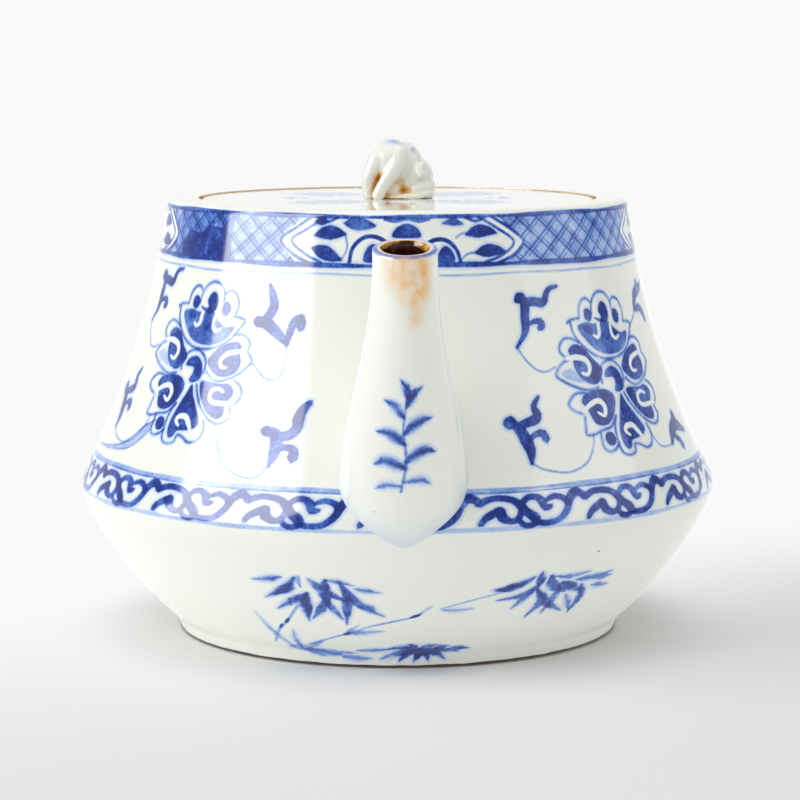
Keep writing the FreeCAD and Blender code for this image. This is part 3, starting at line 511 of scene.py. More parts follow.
BAMBOO = (
    line(.45, .7, (-19.7, -18.2), (-24.3, -25), (-27.2, -29), (-29.7, -31.4), (-34, -38)),
    line(.42, .6, (-24.3, -38), (-16, -34), (-12.9, -32.5), (-6, -29), (-.4, -27), (3.9, -25.3),
         (7.5, -21.8)),
    line(.4, .5, (9.6, -22.7), (16.7, -20), (23.2, -17.9)),
    line(.85, (.7, .9, .5), (-27.4, -29.2), (-26.8, -28.4), (-26.3, -27.6)),
    line(.85, (.6, .9, .6), (-29.8, -31.6), (-29.2, -30.8), (-28.8, -30.2)),
    line(.85, (.5, .9, .5), (-13.4, -32.8), (-12.6, -32.4), (-11.8, -32)),
    line(.85, (.5, 1, .6), (3, -25.7), (4, -25.2), (5, -24.7)),
    leaf(.5, 1.2, (-12.9, -32.5), (-8, -31.6), (-3.2, -31)),
    leaf(.5, .9, (-12.9, -32.5), (-11, -30.4), (-9, -28.6)),
    leaf(.5, 1, (10, -23.2), (13.6, -23.4), (17.1, -23)),
    leaf(.7, 1.3, (-24.5, -13.2), (-28, -14.2), (-31.5, -14.7)),
    leaf(.74, 1.5, (-21.5, -13), (-24, -16.5), (-30, -20.5)),
    leaf(.6, 1.1, (-22, -16.5), (-25, -18), (-27.5, -19)),
    leaf(.55, .9, (-20.5, -12.4), (-20.7, -14.4), (-20.6, -16.5)),
    leaf(.72, 1.4, (-19.5, -18), (-23, -20.5), (-28, -24.2)),
    leaf(.8, 1.9, (-19.6, -18), (-20.5, -22), (-21, -28)),
    leaf(.76, 1.7, (-18.5, -13.4), (-15.5, -17), (-11, -20.5)),
    leaf(.82, 1.9, (-15, -13.5), (-15.6, -18), (-15.2, -23)),
    leaf(.7, 1.6, (-15.2, -19), (-17, -23), (-20, -27)),
    leaf(.66, 1.3, (-15.3, -20), (-14.5, -23), (-12.5, -27)),
    leaf(.6, 1, (-14.8, -13.4), (-12, -14), (-9, -15)),
    leaf(.76, 1.6, (-12, -14), (-10.5, -18), (-7.5, -22), (-3, -25.3)),
    leaf(.7, 1.5, (-11.2, -16.5), (-11.2, -22), (-12, -28.8)),
    leaf(.66, 1.3, (-10.3, -18), (-10.6, -21), (-10.8, -24)),
    leaf(.6, 1.2, (-8.8, -16), (-6, -16.6), (-3.5, -17.2)),
    leaf(.7, 1.6, (-8.5, -21.5), (-6, -22.5), (-5, -24.5)),
    leaf(.7, 1.5, (29.5, -13.8), (25.5, -16.5), (20.5, -17)),
    leaf(.8, 1.7, (27.5, -15.4), (24.6, -16.7), (21, -17.6)),
    leaf(.72, 1.5, (30.8, -12.5), (31.1, -15), (31, -18)),
    leaf(.66, 1.3, (31, -16.5), (28, -19.5), (22, -20.8)),
    leaf(.66, 1.3, (30.5, -18), (28, -21.5), (26.2, -24.2)),
    leaf(.76, 1.7, (31.5, -18.5), (33.5, -22), (31, -27.8)),
    leaf(.76, 1.7, (31, -18), (35, -23), (41, -27)),
    leaf(.8, 1.9, (33.5, -14), (34.5, -17), (39, -20)),
    leaf(.6, 1.1, (34.5, -14.3), (38, -14.8), (43.5, -14)),
    leaf(.7, 1.5, (36.5, -17), (36.5, -21), (35, -27)),
    leaf(.8, 1.9, (37, -16.5), (41.5, -19.3), (44, -20)),
    leaf(.7, 1.6, (42.5, -18), (44.3, -22), (43.5, -28)),
    leaf(.6, 1.3, (39.5, -21), (41.5, -24), (43.5, -27.5)),
    leaf(.62, 1.4, (40.5, -16.3), (46, -16), (50.5, -15)),
    leaf(.6, 1.3, (45.5, -16.5), (48.4, -16.6), (51, -16.4)),
    leaf(.6, 1.3, (46, -18.9), (49, -19.4), (51.5, -19.5)),
    leaf(.74, 1.6, (5, -39.4), (0, -40.6), (-4.8, -42.6)),
    leaf(.8, 1.6, (5.2, -39.2), (2.2, -41), (.4, -43.2)),
    leaf(.82, 1.6, (5.8, -38.8), (5.6, -41.2), (4.4, -43.4)),
    leaf(.8, 1.6, (6.4, -39), (8, -41), (8.6, -43.2)),
    leaf(.78, 1.6, (6.8, -39), (10.4, -40.6), (13.4, -42.8)),
    leaf(.74, 1.5, (7.8, -38.8), (12.4, -39.4), (17, -40.4)),
    leaf(.72, 1.4, (13.4, -39.2), (16.6, -38.7), (19.6, -39.2)),
    leaf(.72, 1.4, (4.4, -38.8), (1.4, -38), (-3, -38.6)),
    leaf(.74, 1.5, (5.6, -39.2), (7.8, -37.6), (10.6, -36.9)),
    leaf(.66, 1.2, (5.4, -39), (4.4, -37.3), (2.4, -36.6)),
    leaf(.66, 1.2, (9, -39), (11.4, -37.9), (14, -37.6)),
    dab(.66, (2.2, -39.4), (5, -38.3), (8.8, -38.8), (10.4, -40), (7, -41.6), (3, -41)),
    leaf(.7, 1.1, (-11, -39.7), (-5.4, -39.3), (-.8, -38.7)),
    leaf(.42, 1.3, (-29, -39.8), (-32.4, -34), (-34.8, -26)),
    leaf(.5, 1.3, (-26.6, -39.8), (-27.2, -36.4), (-26.4, -32)),
    leaf(.45, 1.2, (-24.4, -39.6), (-22, -37.8), (-19.4, -36)),
    leaf(.55, 1.7, (-27, -40.2), (-22, -41), (-15.4, -41.8)),
    leaf(.5, 1.3, (-24, -40), (-18, -40.7), (-11, -40.9)),
    dab(.36, (-31, -39.8), (-27, -38.2), (-23.4, -39), (-20.6, -41), (-26, -41.3)),
    leaf(.6, 1.2, (-15.4, -42.2), (-11, -42.5), (-7, -42.4)),
)

# A leafy sprig for the face of the spout, its foot at the origin.

SPRIG = (
    line(.55, (.5, .7, .6, .4), (-.6, 0), (.3, 7), (-.3, 14), (.6, 20.6)),
    leaf(.82, 1.9, (.2, 5.4), (-3.2, 6.6), (-5.6, 4.8)),
    leaf(.82, 1.9, (.2, 6.8), (3.4, 8.8), (6, 7.4)),
    leaf(.8, 1.8, (.1, 10.6), (-3, 12.6), (-5.8, 12)),
    leaf(.82, 1.8, (-.1, 12.8), (3, 15.2), (5.8, 15)),
    leaf(.8, 1.6, (-.2, 16.2), (-2.4, 18.6), (-4.6, 19.2)),
    leaf(.8, 1.6, (.3, 18.4), (1.8, 21), (4, 22.2)),
    leaf(.8, 1.5, (.5, 20.2), (.2, 22.4), (-1, 24)),
    leaf(.6, 1.2, (-.5, 1.4), (-3, 1.2), (-5, -.6)),
    leaf(.6, 1.2, (-.2, 2.4), (2.6, 2.6), (4.6, .8)),
)

# The blot where the cobalt ran in the band, and the long stem that trails from one lotus.

BLOT = (
    dab(.5, (-13, 63.3), (-13, 68), (-12.6, 74), (0, 74.1), (11, 74), (11.6, 68), (11.4, 63.3)),
    dab(.94, (-9, 63.4), (-9.4, 67), (-7, 69.6), (-2, 69), (3, 70.8), (9.4, 70), (11, 67),
        (10.6, 63.4)),
)

TRAIL = (
    dab(.3, (-8.6, -14.4), (-12, -16.6), (-15.4, -19.3), (-20.4, -22), (-27, -23.4), (-19, -22.9),
        (-14, -21), (-10, -17.8)),
    line(.5, .6, (-8.3, -13.9), (-11.9, -16), (-15.4, -18.9), (-20.4, -21.7), (-29.7, -23.5),
         (-37, -24)),
    line(.44, .5, (-9, -16.4), (-14, -21), (-19, -22.8), (-29.7, -24)),
)

BAND = (63.2, 74.2)  # heights of the trellis band along the skin from the keel
BAND_GIRTH, SCROLL_GIRTH = 60, 78  # radii at which cartouche and scroll are drawn
LOTUSES = (  # turn in degrees, height of the centre, leaves on the right
    (48.2, 33.8, LEAVES_RIGHT),
    (131.8, 33.8, LEAVES_SPOUT_SIDE),
    (228.2, 36.6, LEAVES_RIGHT),
    (311.8, 36.6, LEAVES_SPOUT_SIDE),
)


def girdle(ink, width, height, wave, beats):
    """A line right round the pot, its hand wobble closing on itself."""
    x = np.linspace(-TURN / 2, TURN / 2, 241)
    turn = x / REF
    y = height + wave * (np.sin(beats * turn + height) + 0.6 * np.sin((2 * beats + 3) * turn))
    half = width / 2 * (1 + 0.2 * np.sin(11 * turn) + 0.12 * np.sin(23 * turn + 1))
    return laid(ink, np.column_stack((x, y)), half, margin=2)


def around(strokes, degrees, girth=REF, rise=0.0, gain=1.0, bold=1.0):
    """Strokes set round the pot at an angle, and again a turn away where they cross the seam."""
    made = []
    for turn in (degrees - 360, degrees, degrees + 360):
        part = drawn(strokes, (math.radians(turn) * REF, rise), scale=(REF / girth, 1),
                     gain=gain, bold=bold)
        made += [s for s in part if s["high"][0] > -TURN / 2 and s["low"][0] < TURN / 2]
    return made


def trellis(low, high):
    """Crossed double lines on a blue wash all round the band, between two heights."""
    ring = np.linspace(-TURN / 2, TURN / 2, 181)
    path = np.concatenate((np.column_stack((ring, np.full(len(ring), low))),
                           np.column_stack((ring[::-1], np.full(len(ring), high)))))
    made = [laid(0.4, path, margin=1)]
    count = 66
    pitch = TURN / count
    lean = 1.28 * (high - low)
    for i in range(-3, count + 3):
        x = -TURN / 2 + i * pitch
        for start, end in ((0, lean), (lean, 0)):
            for gap, width, ink in ((0, .55, .64), (1.5, .4, .54)):
                pts = np.array([(x + gap + start, low), (x + gap + end, high)])
                made.append(laid(ink, pts, np.full(2, width / 2), margin=1))
    return made


def pot_brushwork():
    """All strokes on the outside of the pot."""
    made = trellis(*BAND)
    made += around(BLOT, -53)
    for turn in (0, 95, 180, 265):
        made += around(CARTOUCHE, turn, BAND_GIRTH, gain=1.12, bold=1.08)
    made += [girdle(.82, 1.15, 63, .12, 5), girdle(.4, .6, 60.7, .14, 7),
             girdle(.74, 1.0, 74.4, .1, 4)]
    for turn, rise, right in LOTUSES:
        made += around(LOTUS, turn, rise=rise)
        made += around(LEAVES_LEFT, turn, rise=rise, bold=1.18)
        made += around(right, turn, rise=rise, bold=1.12)
    turn, rise, right = LOTUSES[-1]
    made += around(TRAIL, turn, rise=rise)
    made += [girdle(.42, 1.0, 9.8, .1, 6), girdle(.62, .42, 9.1, .1, 6),
             girdle(.32, 1.0, .4, .08, 5)]
    for i in range(18):
        made += around(SCROLL, 33 + 20 * i, SCROLL_GIRTH, bold=1.18)
    for turn in (-1, 179):
        made += around(BAMBOO, turn, bold=1.15)
    return made


# Turned shapes.

FOOT_EDGE = 0.3  # mm over the table at which the foot's outside begins
INSIDE_TEA = 0.2  # old tea on the inside of the wall
SAME_LEVEL, SAME_POINT = 1e-3, 0.02  # mm within which points of a drawing count as one


class Profile:
    """The pot's outside as a run of heights along its skin, measured from the keel."""

    def __init__(self, form):
        out = span("upper_wall")
        self.wall_thick = form.wall / MM
        self.round = form.keel_round / MM
        self.sweep = form.wall_curve / MM
        self.swell = form.bowl_curve / MM
        self.seat_radius, shoulder, self.seat, self.top = span("shoulder_ring")
        self.keel = np.array((out[1] - self.round, out[2]))
        self.corner = np.array((shoulder, self.seat))
        self.hub = self.meet(self.keel, self.round + self.sweep, self.corner, self.sweep, 1)
        foot = node_points("lower_bowl")
        sole = np.hypot(foot[:, 0], foot[:, 1])[foot[:, 2] < 0.01]
        self.foot_out, self.foot_in = sole.max(), sole.min()
        self.foot_top = np.array((self.foot_out + form.foot_flare / MM, form.foot_height / MM))
        self.heart = self.meet(self.keel, self.swell - self.round, self.foot_top, self.swell, -1)
        way = self.hub - self.keel
        self.lean = math.atan2(way[1], way[0])
        way = self.keel - self.heart
        self.tuck = math.atan2(way[1], way[0])
        end = self.corner - self.hub
        bend = math.pi + self.lean - math.atan2(end[1], end[0]) % (2 * math.pi)
        self.rise1 = self.round * self.lean
        self.rise2 = self.rise1 + self.sweep * bend
        low = self.foot_top - self.heart
        self.drop1 = -self.round * self.tuck
        self.drop2 = self.drop1 + self.swell * (self.tuck - math.atan2(low[1], low[0]))
        fall = self.foot_top - (self.foot_out, FOOT_EDGE)
        self.splay = math.atan2(fall[0], fall[1])
        self.drop3 = self.drop2 + math.hypot(*fall)
        draw = form.shoulder_draw / MM
        self.batter = math.atan2(draw, self.top - self.seat)
        self.edge = form.shoulder_round / MM
        bend = math.pi / 2 - self.batter
        cut = self.edge * math.tan(bend / 2)
        self.rise3 = self.rise2 + math.hypot(draw, self.top - self.seat) - cut
        self.rise4 = self.rise3 + self.edge * bend
        self.rise5 = self.rise4 + (shoulder - draw - cut) - self.seat_radius

    @staticmethod
    def meet(a, ra, b, rb, side):
        """Where two circles cross, on the outer or the inner side."""
        d = b - a
        gap = np.linalg.norm(d)
        along = (ra ** 2 - rb ** 2 + gap ** 2) / (2 * gap)
        off = math.sqrt(ra ** 2 - along ** 2)
        mid = a + d * along / gap
        hits = [mid + k * off * np.array((-d[1], d[0])) / gap for k in (1, -1)]
        return max(hits, key=lambda p: side * p[0])

    def at(self, s):
        """Radius, height and outward normal at heights s along the skin."""
        s = np.asarray(s, float)
        found = [0, 0, 0, 0]

        def lay(here, *values):
            found[:] = [np.where(here, new, old) for new, old in zip(values, found)]

        def bend(here, hub, radius, angle, side=1):
            out, up = np.cos(angle), np.sin(angle)
            lay(here, hub[0] + radius * out, hub[1] + radius * up, side * out, side * up)

        # Keel, wall, bowl, foot, shoulder, the shoulder's edge and the flat inside it.
        bend(True, self.keel, self.round, np.clip(s, -self.drop1, self.rise1) / self.round)
        angle = math.pi + self.lean - (s - self.rise1) / self.sweep
        bend(s > self.rise1, self.hub, self.sweep, angle, -1)
        bend(s < -self.drop1, self.heart, self.swell, self.tuck - (-s - self.drop1) / self.swell)
        run, out, up = -s - self.drop2, math.cos(self.splay), math.sin(self.splay)
        lay(s < -self.drop2 - 1e-7,
            self.foot_top[0] - run * up, self.foot_top[1] - run * out, out, -up)
        run, out, up = s - self.rise2, math.cos(self.batter), math.sin(self.batter)
        lay(s > self.rise2 + 1e-7, self.corner[0] - run * up, self.corner[1] + run * out, out, up)
        hub = self.corner[0] - (self.rise3 - self.rise2) * up - self.edge * out
        angle = self.batter + (s - self.rise3) / self.edge
        bend(s > self.rise3, (hub, self.top - self.edge), self.edge, angle)
        lay(s > self.rise4, hub - (s - self.rise4), self.top, 0, 1)
        return found

    def radius_at(self, height):
        """Outside radius of wall and bowl at given heights."""
        r, z = self.at(np.linspace(-self.drop2, self.rise2, 900))[:2]
        return np.interp(height, z, r)


def around_pot(radius, turn, height):
    """Points at angles round the pot from the front."""
    return np.column_stack((radius * np.sin(turn), -radius * np.cos(turn), height))


def by_face(sizes):
    """Where each face's corners start, and the face of each corner."""
    starts = np.concatenate(([0], np.cumsum(sizes)[:-1]))
    return starts, np.repeat(np.arange(len(sizes)), sizes)


class Shell:
    """Points and faces of one piece as they are gathered."""

    def __init__(self):
        self.points = np.zeros((0, 3))
        self.normals = np.zeros((0, 3))
        self.ink = np.zeros(0)
        self.tea = np.zeros(0)
        self.faces = []

    def add(self, points, normals=None, ink=0.0, tea=0.0):
        """Adds points and gives their numbers; those without normals are smoothed later."""
        start = len(self.points)
        n = len(points)
        normals = np.zeros((n, 3)) if normals is None else normals
        self.points = np.concatenate((self.points, points))
        self.normals = np.concatenate((self.normals, normals))
        self.ink = np.concatenate((self.ink, np.broadcast_to(ink, n)))
        self.tea = np.concatenate((self.tea, np.broadcast_to(tea, n)))
        return start + np.arange(n)

    def sheet(self, points, normals, ink, tea, tris, alias):
        """Adds the triangles of a drawing once its points are placed and its seam is sewn."""
        used, back = np.unique(alias[tris], return_inverse=True)
        tea = np.broadcast_to(tea, len(points))[used]
        ids = self.add(points[used], None if normals is None else normals[used], ink[used], tea)
        faces = ids[back.reshape(-1, 3)]
        self.faces += [tuple(f) for f in faces[(faces != np.roll(faces, 1, 1)).all(1)]]
        return ids, used

    def turn_of(self, ids):
        """Angle of points round the pot."""
        return np.arctan2(self.points[ids, 0], -self.points[ids, 1])

    def zip(self, a, b, turn=None):
        """Faces between two rings of points, taken round by their angles."""
        turn = turn or self.turn_of
        ta, tb = turn(a), turn(b)
        a, b = a[np.argsort(ta)], b[np.argsort(tb)]
        ta, tb = np.sort(ta), np.sort(tb)
        ta, tb = np.append(ta, ta[0] + 2 * math.pi), np.append(tb, tb[0] + 2 * math.pi)
        i = j = 0
        while i < len(a) or j < len(b):
            if j >= len(b) or (i < len(a) and ta[i + 1] <= tb[j + 1]):
                self.faces.append((a[i], a[(i + 1) % len(a)], b[j % len(b)]))
                i += 1
            else:
                self.faces.append((a[i % len(a)], b[(j + 1) % len(b)], b[j]))
                j += 1

    def wrap(self, a, b):
        """Faces between two rings with the same number of points."""
        n = len(a)
        self.faces += [(a[k], a[(k + 1) % n], b[(k + 1) % n], b[k]) for k in range(n)]

    def rings(self, start, profile, steps, tea=0.0, end=None, pole=None):
        """Turned rings carried on through a profile from one ring, to a second ring or a pole."""
        turn = np.linspace(-math.pi, math.pi, steps, endpoint=False)
        last = start
        for r, z in profile:
            ids = self.add(around_pot(r, turn, np.full(steps, z)), tea=tea)
            if last is start:
                self.zip(last, ids)
            else:
                self.wrap(last, ids)
            last = ids
        if pole is not None:
            tip = self.add(np.array([(0, 0, pole)]), tea=tea)[0]
            order = last[np.argsort(self.turn_of(last))]
            self.faces += [(a, b, tip) for a, b in zip(order, np.roll(order, -1))]
        if end is not None:
            self.zip(last, end)

    def build(self, name, uv=None, material="underglaze_porcelain", foot=False):
        """The piece as an object with its faces outwards, its attributes and smooth normals."""
        mesh = bpy.data.meshes.new(name)
        faces = [tuple(int(i) for i in f) for f in self.faces]
        mesh.from_pydata((self.points * MM).tolist(), [], faces)
        obj = bpy.data.objects.new(name, mesh)
        bpy.context.scene.collection.objects.link(obj)
        stained(obj, self.tea, self.ink)
        bpy.ops.object.select_all(action="DESELECT")
        obj.select_set(True)
        bpy.context.view_layer.objects.active = obj
        faces_out(40)
        flat = np.empty(len(mesh.loops) * 3)
        mesh.corner_normals.foreach_get("vector", flat)
        flat = flat.reshape(-1, 3)
        corner = np.empty(len(mesh.loops), int)
        mesh.loops.foreach_get("vertex_index", corner)
        sizes = np.empty(len(mesh.polygons), int)
        mesh.polygons.foreach_get("loop_total", sizes)
        whole = self.painted(corner, sizes)
        flat[whole] = self.normals[corner[whole]]
        mesh.normals_split_custom_set(flat.tolist())
        if uv is not None:
            layer = mesh.uv_layers.new(name="OFBake")
            layer.data.foreach_set("uv", uv(corner, sizes).ravel())
        mesh.materials.append(finish(material, foot))
        return obj

    def painted(self, corner, sizes):
        """Which corners belong to faces that have all their normals given."""
        starts, face = by_face(sizes)
        given = np.linalg.norm(self.normals[corner], axis=1) > 0.5
        return np.logical_and.reduceat(given, starts)[face]


def faces_out(angle):
    """Turns the active mesh's faces outwards and smooths its edges up to an angle."""
    bpy.ops.object.mode_set(mode="EDIT")
    bpy.ops.mesh.select_all(action="SELECT")
    bpy.ops.mesh.normals_make_consistent(inside=False)
    bpy.ops.object.mode_set(mode="OBJECT")
    bpy.ops.object.shade_smooth_by_angle(angle=math.radians(angle))


def stained(obj, tea=0.0, ink=0.0):
    """Puts cobalt and tea amounts on a mesh."""
    for key, values in (("ink", ink), ("tea", tea)):
        layer = obj.data.attributes.new(key, "FLOAT", "POINT")
        layer.data.foreach_set("value", np.full(len(obj.data.vertices), values, float))


def place(obj, body, slot, *nodes):
    """Attaches a finished piece to its body and hides the CAD nodes it stands for."""
    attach(obj, body)
    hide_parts(*nodes)


def strip_map(shell, low, high):
    """UV layout of a turned skin: the drawing in three rows, all else in a fourth."""
    def lay(corner, sizes):
        starts, face = by_face(sizes)
        pts = shell.points[corner]
        turn = np.arctan2(pts[:, 0], -pts[:, 1]) / (2 * math.pi) + 0.5
        peak = np.maximum.reduceat(turn, starts)[face]
        turn = np.where(peak - turn > 0.5, turn + 1, turn)
        mid = (np.add.reduceat(turn, starts) / sizes)[face]
        painted = shell.painted(corner, sizes)
        row = np.clip(np.floor(mid * 3), 0, 2)
        rise = 0.03 + 0.94 * np.clip((pts[:, 2] - low) / (high - low), 0, 1)
        u = np.where(painted, turn * 3 - row, turn * 0.9)
        v = np.where(painted, row, 3) + rise
        return np.column_stack((0.03 + 0.94 * u, v / 4))
    return lay


def sewn(flat, edge):
    """Number of each point of a drawing; at its right edge, that of its partner on the left."""
    alias = np.arange(len(flat))
    left = np.nonzero(flat[:, 0] < -edge + SAME_LEVEL)[0]
    for k in np.nonzero(flat[:, 0] > edge - SAME_LEVEL)[0]:
        best = left[np.argmin(np.abs(flat[left, 1] - flat[k, 1]))]
        if abs(flat[best, 1] - flat[k, 1]) < SAME_POINT:
            alias[k] = best
    return alias


def skin(shell, profile, strokes, low, high, rows, columns=180, inset=0.0, holes=()):
    """A turned skin between two heights; gives its lower and upper edge and its holes' rims."""
    x = np.linspace(-TURN / 2, TURN / 2, columns + 1)
    s = np.linspace(low, high, rows + 1)
    grid = np.array([(a, b) for a in x[1:-1] for b in s[1:-1]])
    border = [(np.column_stack((x, np.full(len(x), end))), False) for end in (low, high)]
    border += [(np.column_stack((np.full(len(s), end), s)), False) for end in (x[0], x[-1])]
    border += [(hole, True) for hole in holes]
    near = [k for k in strokes if k["high"][1] > low and k["low"][1] < high]

    def keep(mid):
        good = (np.abs(mid[:, 0]) < TURN / 2) & (mid[:, 1] > low) & (mid[:, 1] < high)
        for hole in holes:
            good &= ~within(mid, hole)
        return good

    flat, tris = lay_sheet(near, grid, border, keep)
    flat[:, 1] = np.clip(flat[:, 1], low, high)
    turn = flat[:, 0] / REF
    r, z, nr, nz = profile.at(flat[:, 1])
    points = around_pot(r - inset * nr, turn, z - inset * nz)
    normals = None if inset else around_pot(nr, turn, nz)
    tea = INSIDE_TEA if inset else 0.0
    ids, used = shell.sheet(points, normals, ink_at(flat, near), tea, tris, sewn(flat, TURN / 2))
    flat = flat[used]
    edges = [ids[np.abs(flat[:, 1] - level) < SAME_LEVEL] for level in (low, high)]
    rims = [ids[np.linalg.norm(flat[:, None] - hole, axis=2).argmin(0)] for hole in holes]
    return edges[0], edges[1], rims


# Finishes.


def add(tree, kind, links=(), **settings):
    """Adds a node, sets inputs and properties by name, then links or fills its sockets."""
    node = tree.nodes.new(kind)
    for key, value in settings.items():
        if key in node.inputs:
            node.inputs[key].default_value = value
        else:
            setattr(node, key, value)
    for socket, source in links:
        if isinstance(source, bpy.types.NodeSocket):
            tree.links.new(source, node.inputs[socket])
        else:
            node.inputs[socket].default_value = source
    return node


def four(rgb):
    """A colour with full opacity."""
    return (rgb[0], rgb[1], rgb[2], 1.0)


def ends(*values):
    """Inputs of a map range: what it runs from, and what it runs to."""
    return dict(zip(("From Min", "From Max", "To Min", "To Max"), values))


def underglaze_porcelain(name, foot):
    """Porcelain with cobalt under a clear glaze: a wet, faintly uneven gloss over soft blue."""
    paint = bpy.context.scene.teapot_glaze
    mat = bpy.data.materials.new(name)
    mat.use_nodes = True
    tree = mat.node_tree
    tree.nodes.clear()
    where = add(tree, "ShaderNodeTexCoord").outputs["Object"]

    def noise(size, detail):
        return add(tree, "ShaderNodeTexNoise", [("Vector", where)], Scale=1 / (size * MM),
                   Detail=detail).outputs["Fac"]

    def ranged(value, *limits):
        return add(tree, "ShaderNodeMapRange", [("Value", value)], **ends(*limits)).outputs[0]

    def maths(operation, *values, clamp=False):
        return add(tree, "ShaderNodeMath", enumerate(values), operation=operation,
                   use_clamp=clamp).outputs[0]

    def mixed(share, a, b):
        return add(tree, "ShaderNodeMix", [(0, share), (6, a), (7, b)], data_type="RGBA").outputs[2]

    def toned(value, *stops):
        ramp = add(tree, "ShaderNodeValToRGB", [("Fac", value)])
        tones = ramp.color_ramp.elements
        for tone, (spot, rgb) in zip(tones, (stops[0], stops[-1])):
            tone.position, tone.color = spot, four(rgb)
        for spot, rgb in stops[1:-1]:
            tones.new(spot).color = four(rgb)
        return ramp.outputs["Color"]

    ink = add(tree, "ShaderNodeAttribute", attribute_name="ink").outputs["Fac"]
    tea = add(tree, "ShaderNodeAttribute", attribute_name="tea").outputs["Fac"]
    # Cobalt pools over some 5 mm and its grains show at under a millimetre.
    load = ranged(noise(5, 2.0), 0.3, 0.7, 0.74, 1.22)
    speck = ranged(noise(0.7, 1.0), 0.3, 0.7, 0.86, 1.1)
    blue = maths("MULTIPLY", ink, maths("MULTIPLY", load, speck), clamp=True)
    # The glaze clouds slowly, over some 45 mm.
    cloud = noise(45, 3.0)
    white = mixed(cloud, four(paint.glaze), four(paint.shade))
    cobalt = toned(blue, (0.0, paint.pale), (0.3, paint.pale), (0.58, paint.middle),
                   (0.84, paint.deep), (1.0, [0.6 * c for c in paint.deep]))
    last = mixed(ranged(blue, 0, 0.3), white, cobalt)
    # Iron specks, under a millimetre wide and some 17 mm apart.
    dots = add(tree, "ShaderNodeTexVoronoi", [("Vector", where)], Scale=1 / (17 * MM))
    small = maths("LESS_THAN", dots.outputs["Distance"], 0.022)
    last = mixed(small, last, four(paint.iron))
    # Tea dries in patches of a few millimetres.
    dried = maths("MULTIPLY", tea, ranged(noise(4, 4.0), 0.35, 0.65, 0.45, 1.3), clamp=True)
    brown = toned(dried, (0.5, paint.tea), (0.95, paint.crust))
    last = mixed(ranged(dried, 0, 0.5), last, brown)
    if foot:
        # The glaze stops some half a millimetre above the table; the bare clay is brown, made
        # darker as painted contact shadow.
        height = add(tree, "ShaderNodeSeparateXYZ", [("Vector", where)]).outputs["Z"]
        edge = maths("MULTIPLY_ADD", noise(6, 2.0), 0.5 * MM, 0.35 * MM)
        last = mixed(maths("LESS_THAN", height, edge), last, four(paint.biscuit_and_contact_shadow))
    # Orange peel: swells some 9 mm across, a few hundredths of a millimetre deep.
    bump = add(tree, "ShaderNodeBump", [("Height", noise(9, 1.0))], Strength=0.35,
               Distance=0.06 * MM)
    shade = add(tree, "ShaderNodeBsdfPrincipled", [
        ("Base Color", last), ("Roughness", ranged(cloud, 0, 1, 0.05, 0.13)),
        ("Normal", bump.outputs["Normal"])], IOR=1.5)
    add(tree, "ShaderNodeOutputMaterial", [("Surface", shade.outputs["BSDF"])])
    return mat


def finish(name="underglaze_porcelain", foot=False):
    """The named glaze, made once."""
    return bpy.data.materials.get(name) or underglaze_porcelain(name, foot)


# Pieces.

SINK = 1.6  # mm that spout and handle run in under the wall's skin


class TEAPOT_OT_wall(bpy.types.Operator):
    """Upper wall with its lotuses and strainer, and the shoulder that carries on its band"""

    bl_idname = "teapot.wall"
    bl_label = "Wall and shoulder"

    def execute(self, context):
        profile, shell = Profile(context.scene.teapot_form), Shell()
        strokes = pot_brushwork()
        outer, inner = self.strainer(profile)
        low, high, rims = skin(shell, profile, strokes, 0, profile.rise2, 28, holes=outer)
        low_in, high_in, rims_in = skin(shell, profile, [], 0, profile.rise2, 14, 120,
                                        inset=profile.wall_thick, holes=inner)
        shell.zip(low, low_in)
        shell.zip(high, high_in)
        for a, b in zip(rims, rims_in):
            shell.wrap(a, b)
        obj = shell.build("upper_wall_painted", strip_map(shell, profile.keel[1], profile.seat))
        place(obj, "pot", "porcelain", "upper_wall")
        shell = Shell()
        low, high = skin(shell, profile, strokes, profile.rise2, profile.rise5, 16)[:2]
        inside = profile.seat_radius
        seat = [(inside, profile.top - 0.4), (inside, profile.seat), (inside + 3, profile.seat)]
        shell.rings(high, seat, 180, tea=0.42, end=low)
        obj = shell.build("shoulder_ring_painted", strip_map(shell, profile.seat, profile.top))
        place(obj, "pot", "porcelain", "shoulder_ring")
        return {"FINISHED"}

    @staticmethod
    def strainer(profile):
        """Seven round holes behind the spout, as rings in the drawings of both skins."""
        hole, pitch, rise = 1.7, 5.6, 18  # radius, spacing and height over the keel, in mm
        s = np.linspace(0, profile.rise2, 800)
        r, z, nr, nz = profile.at(s)
        ring = np.linspace(0, 2 * math.pi, 16, endpoint=False)
        spots = [(pitch * math.cos(a), pitch * math.sin(a)) for a in np.arange(6) * math.pi / 3]
        pair = ([], [])
        for x0, z0 in [(0, 0)] + spots:
            x = x0 + hole * np.cos(ring)
            height = profile.keel[1] + rise + z0 + hole * np.sin(ring)
            for rings, depth in zip(pair, (0, profile.wall_thick)):
                here = np.interp(height, z - depth * nz, s)
                radius = np.interp(here, s, r - depth * nr)
                rings.append(np.column_stack((np.arcsin(x / radius) * REF, here)))
        return pair


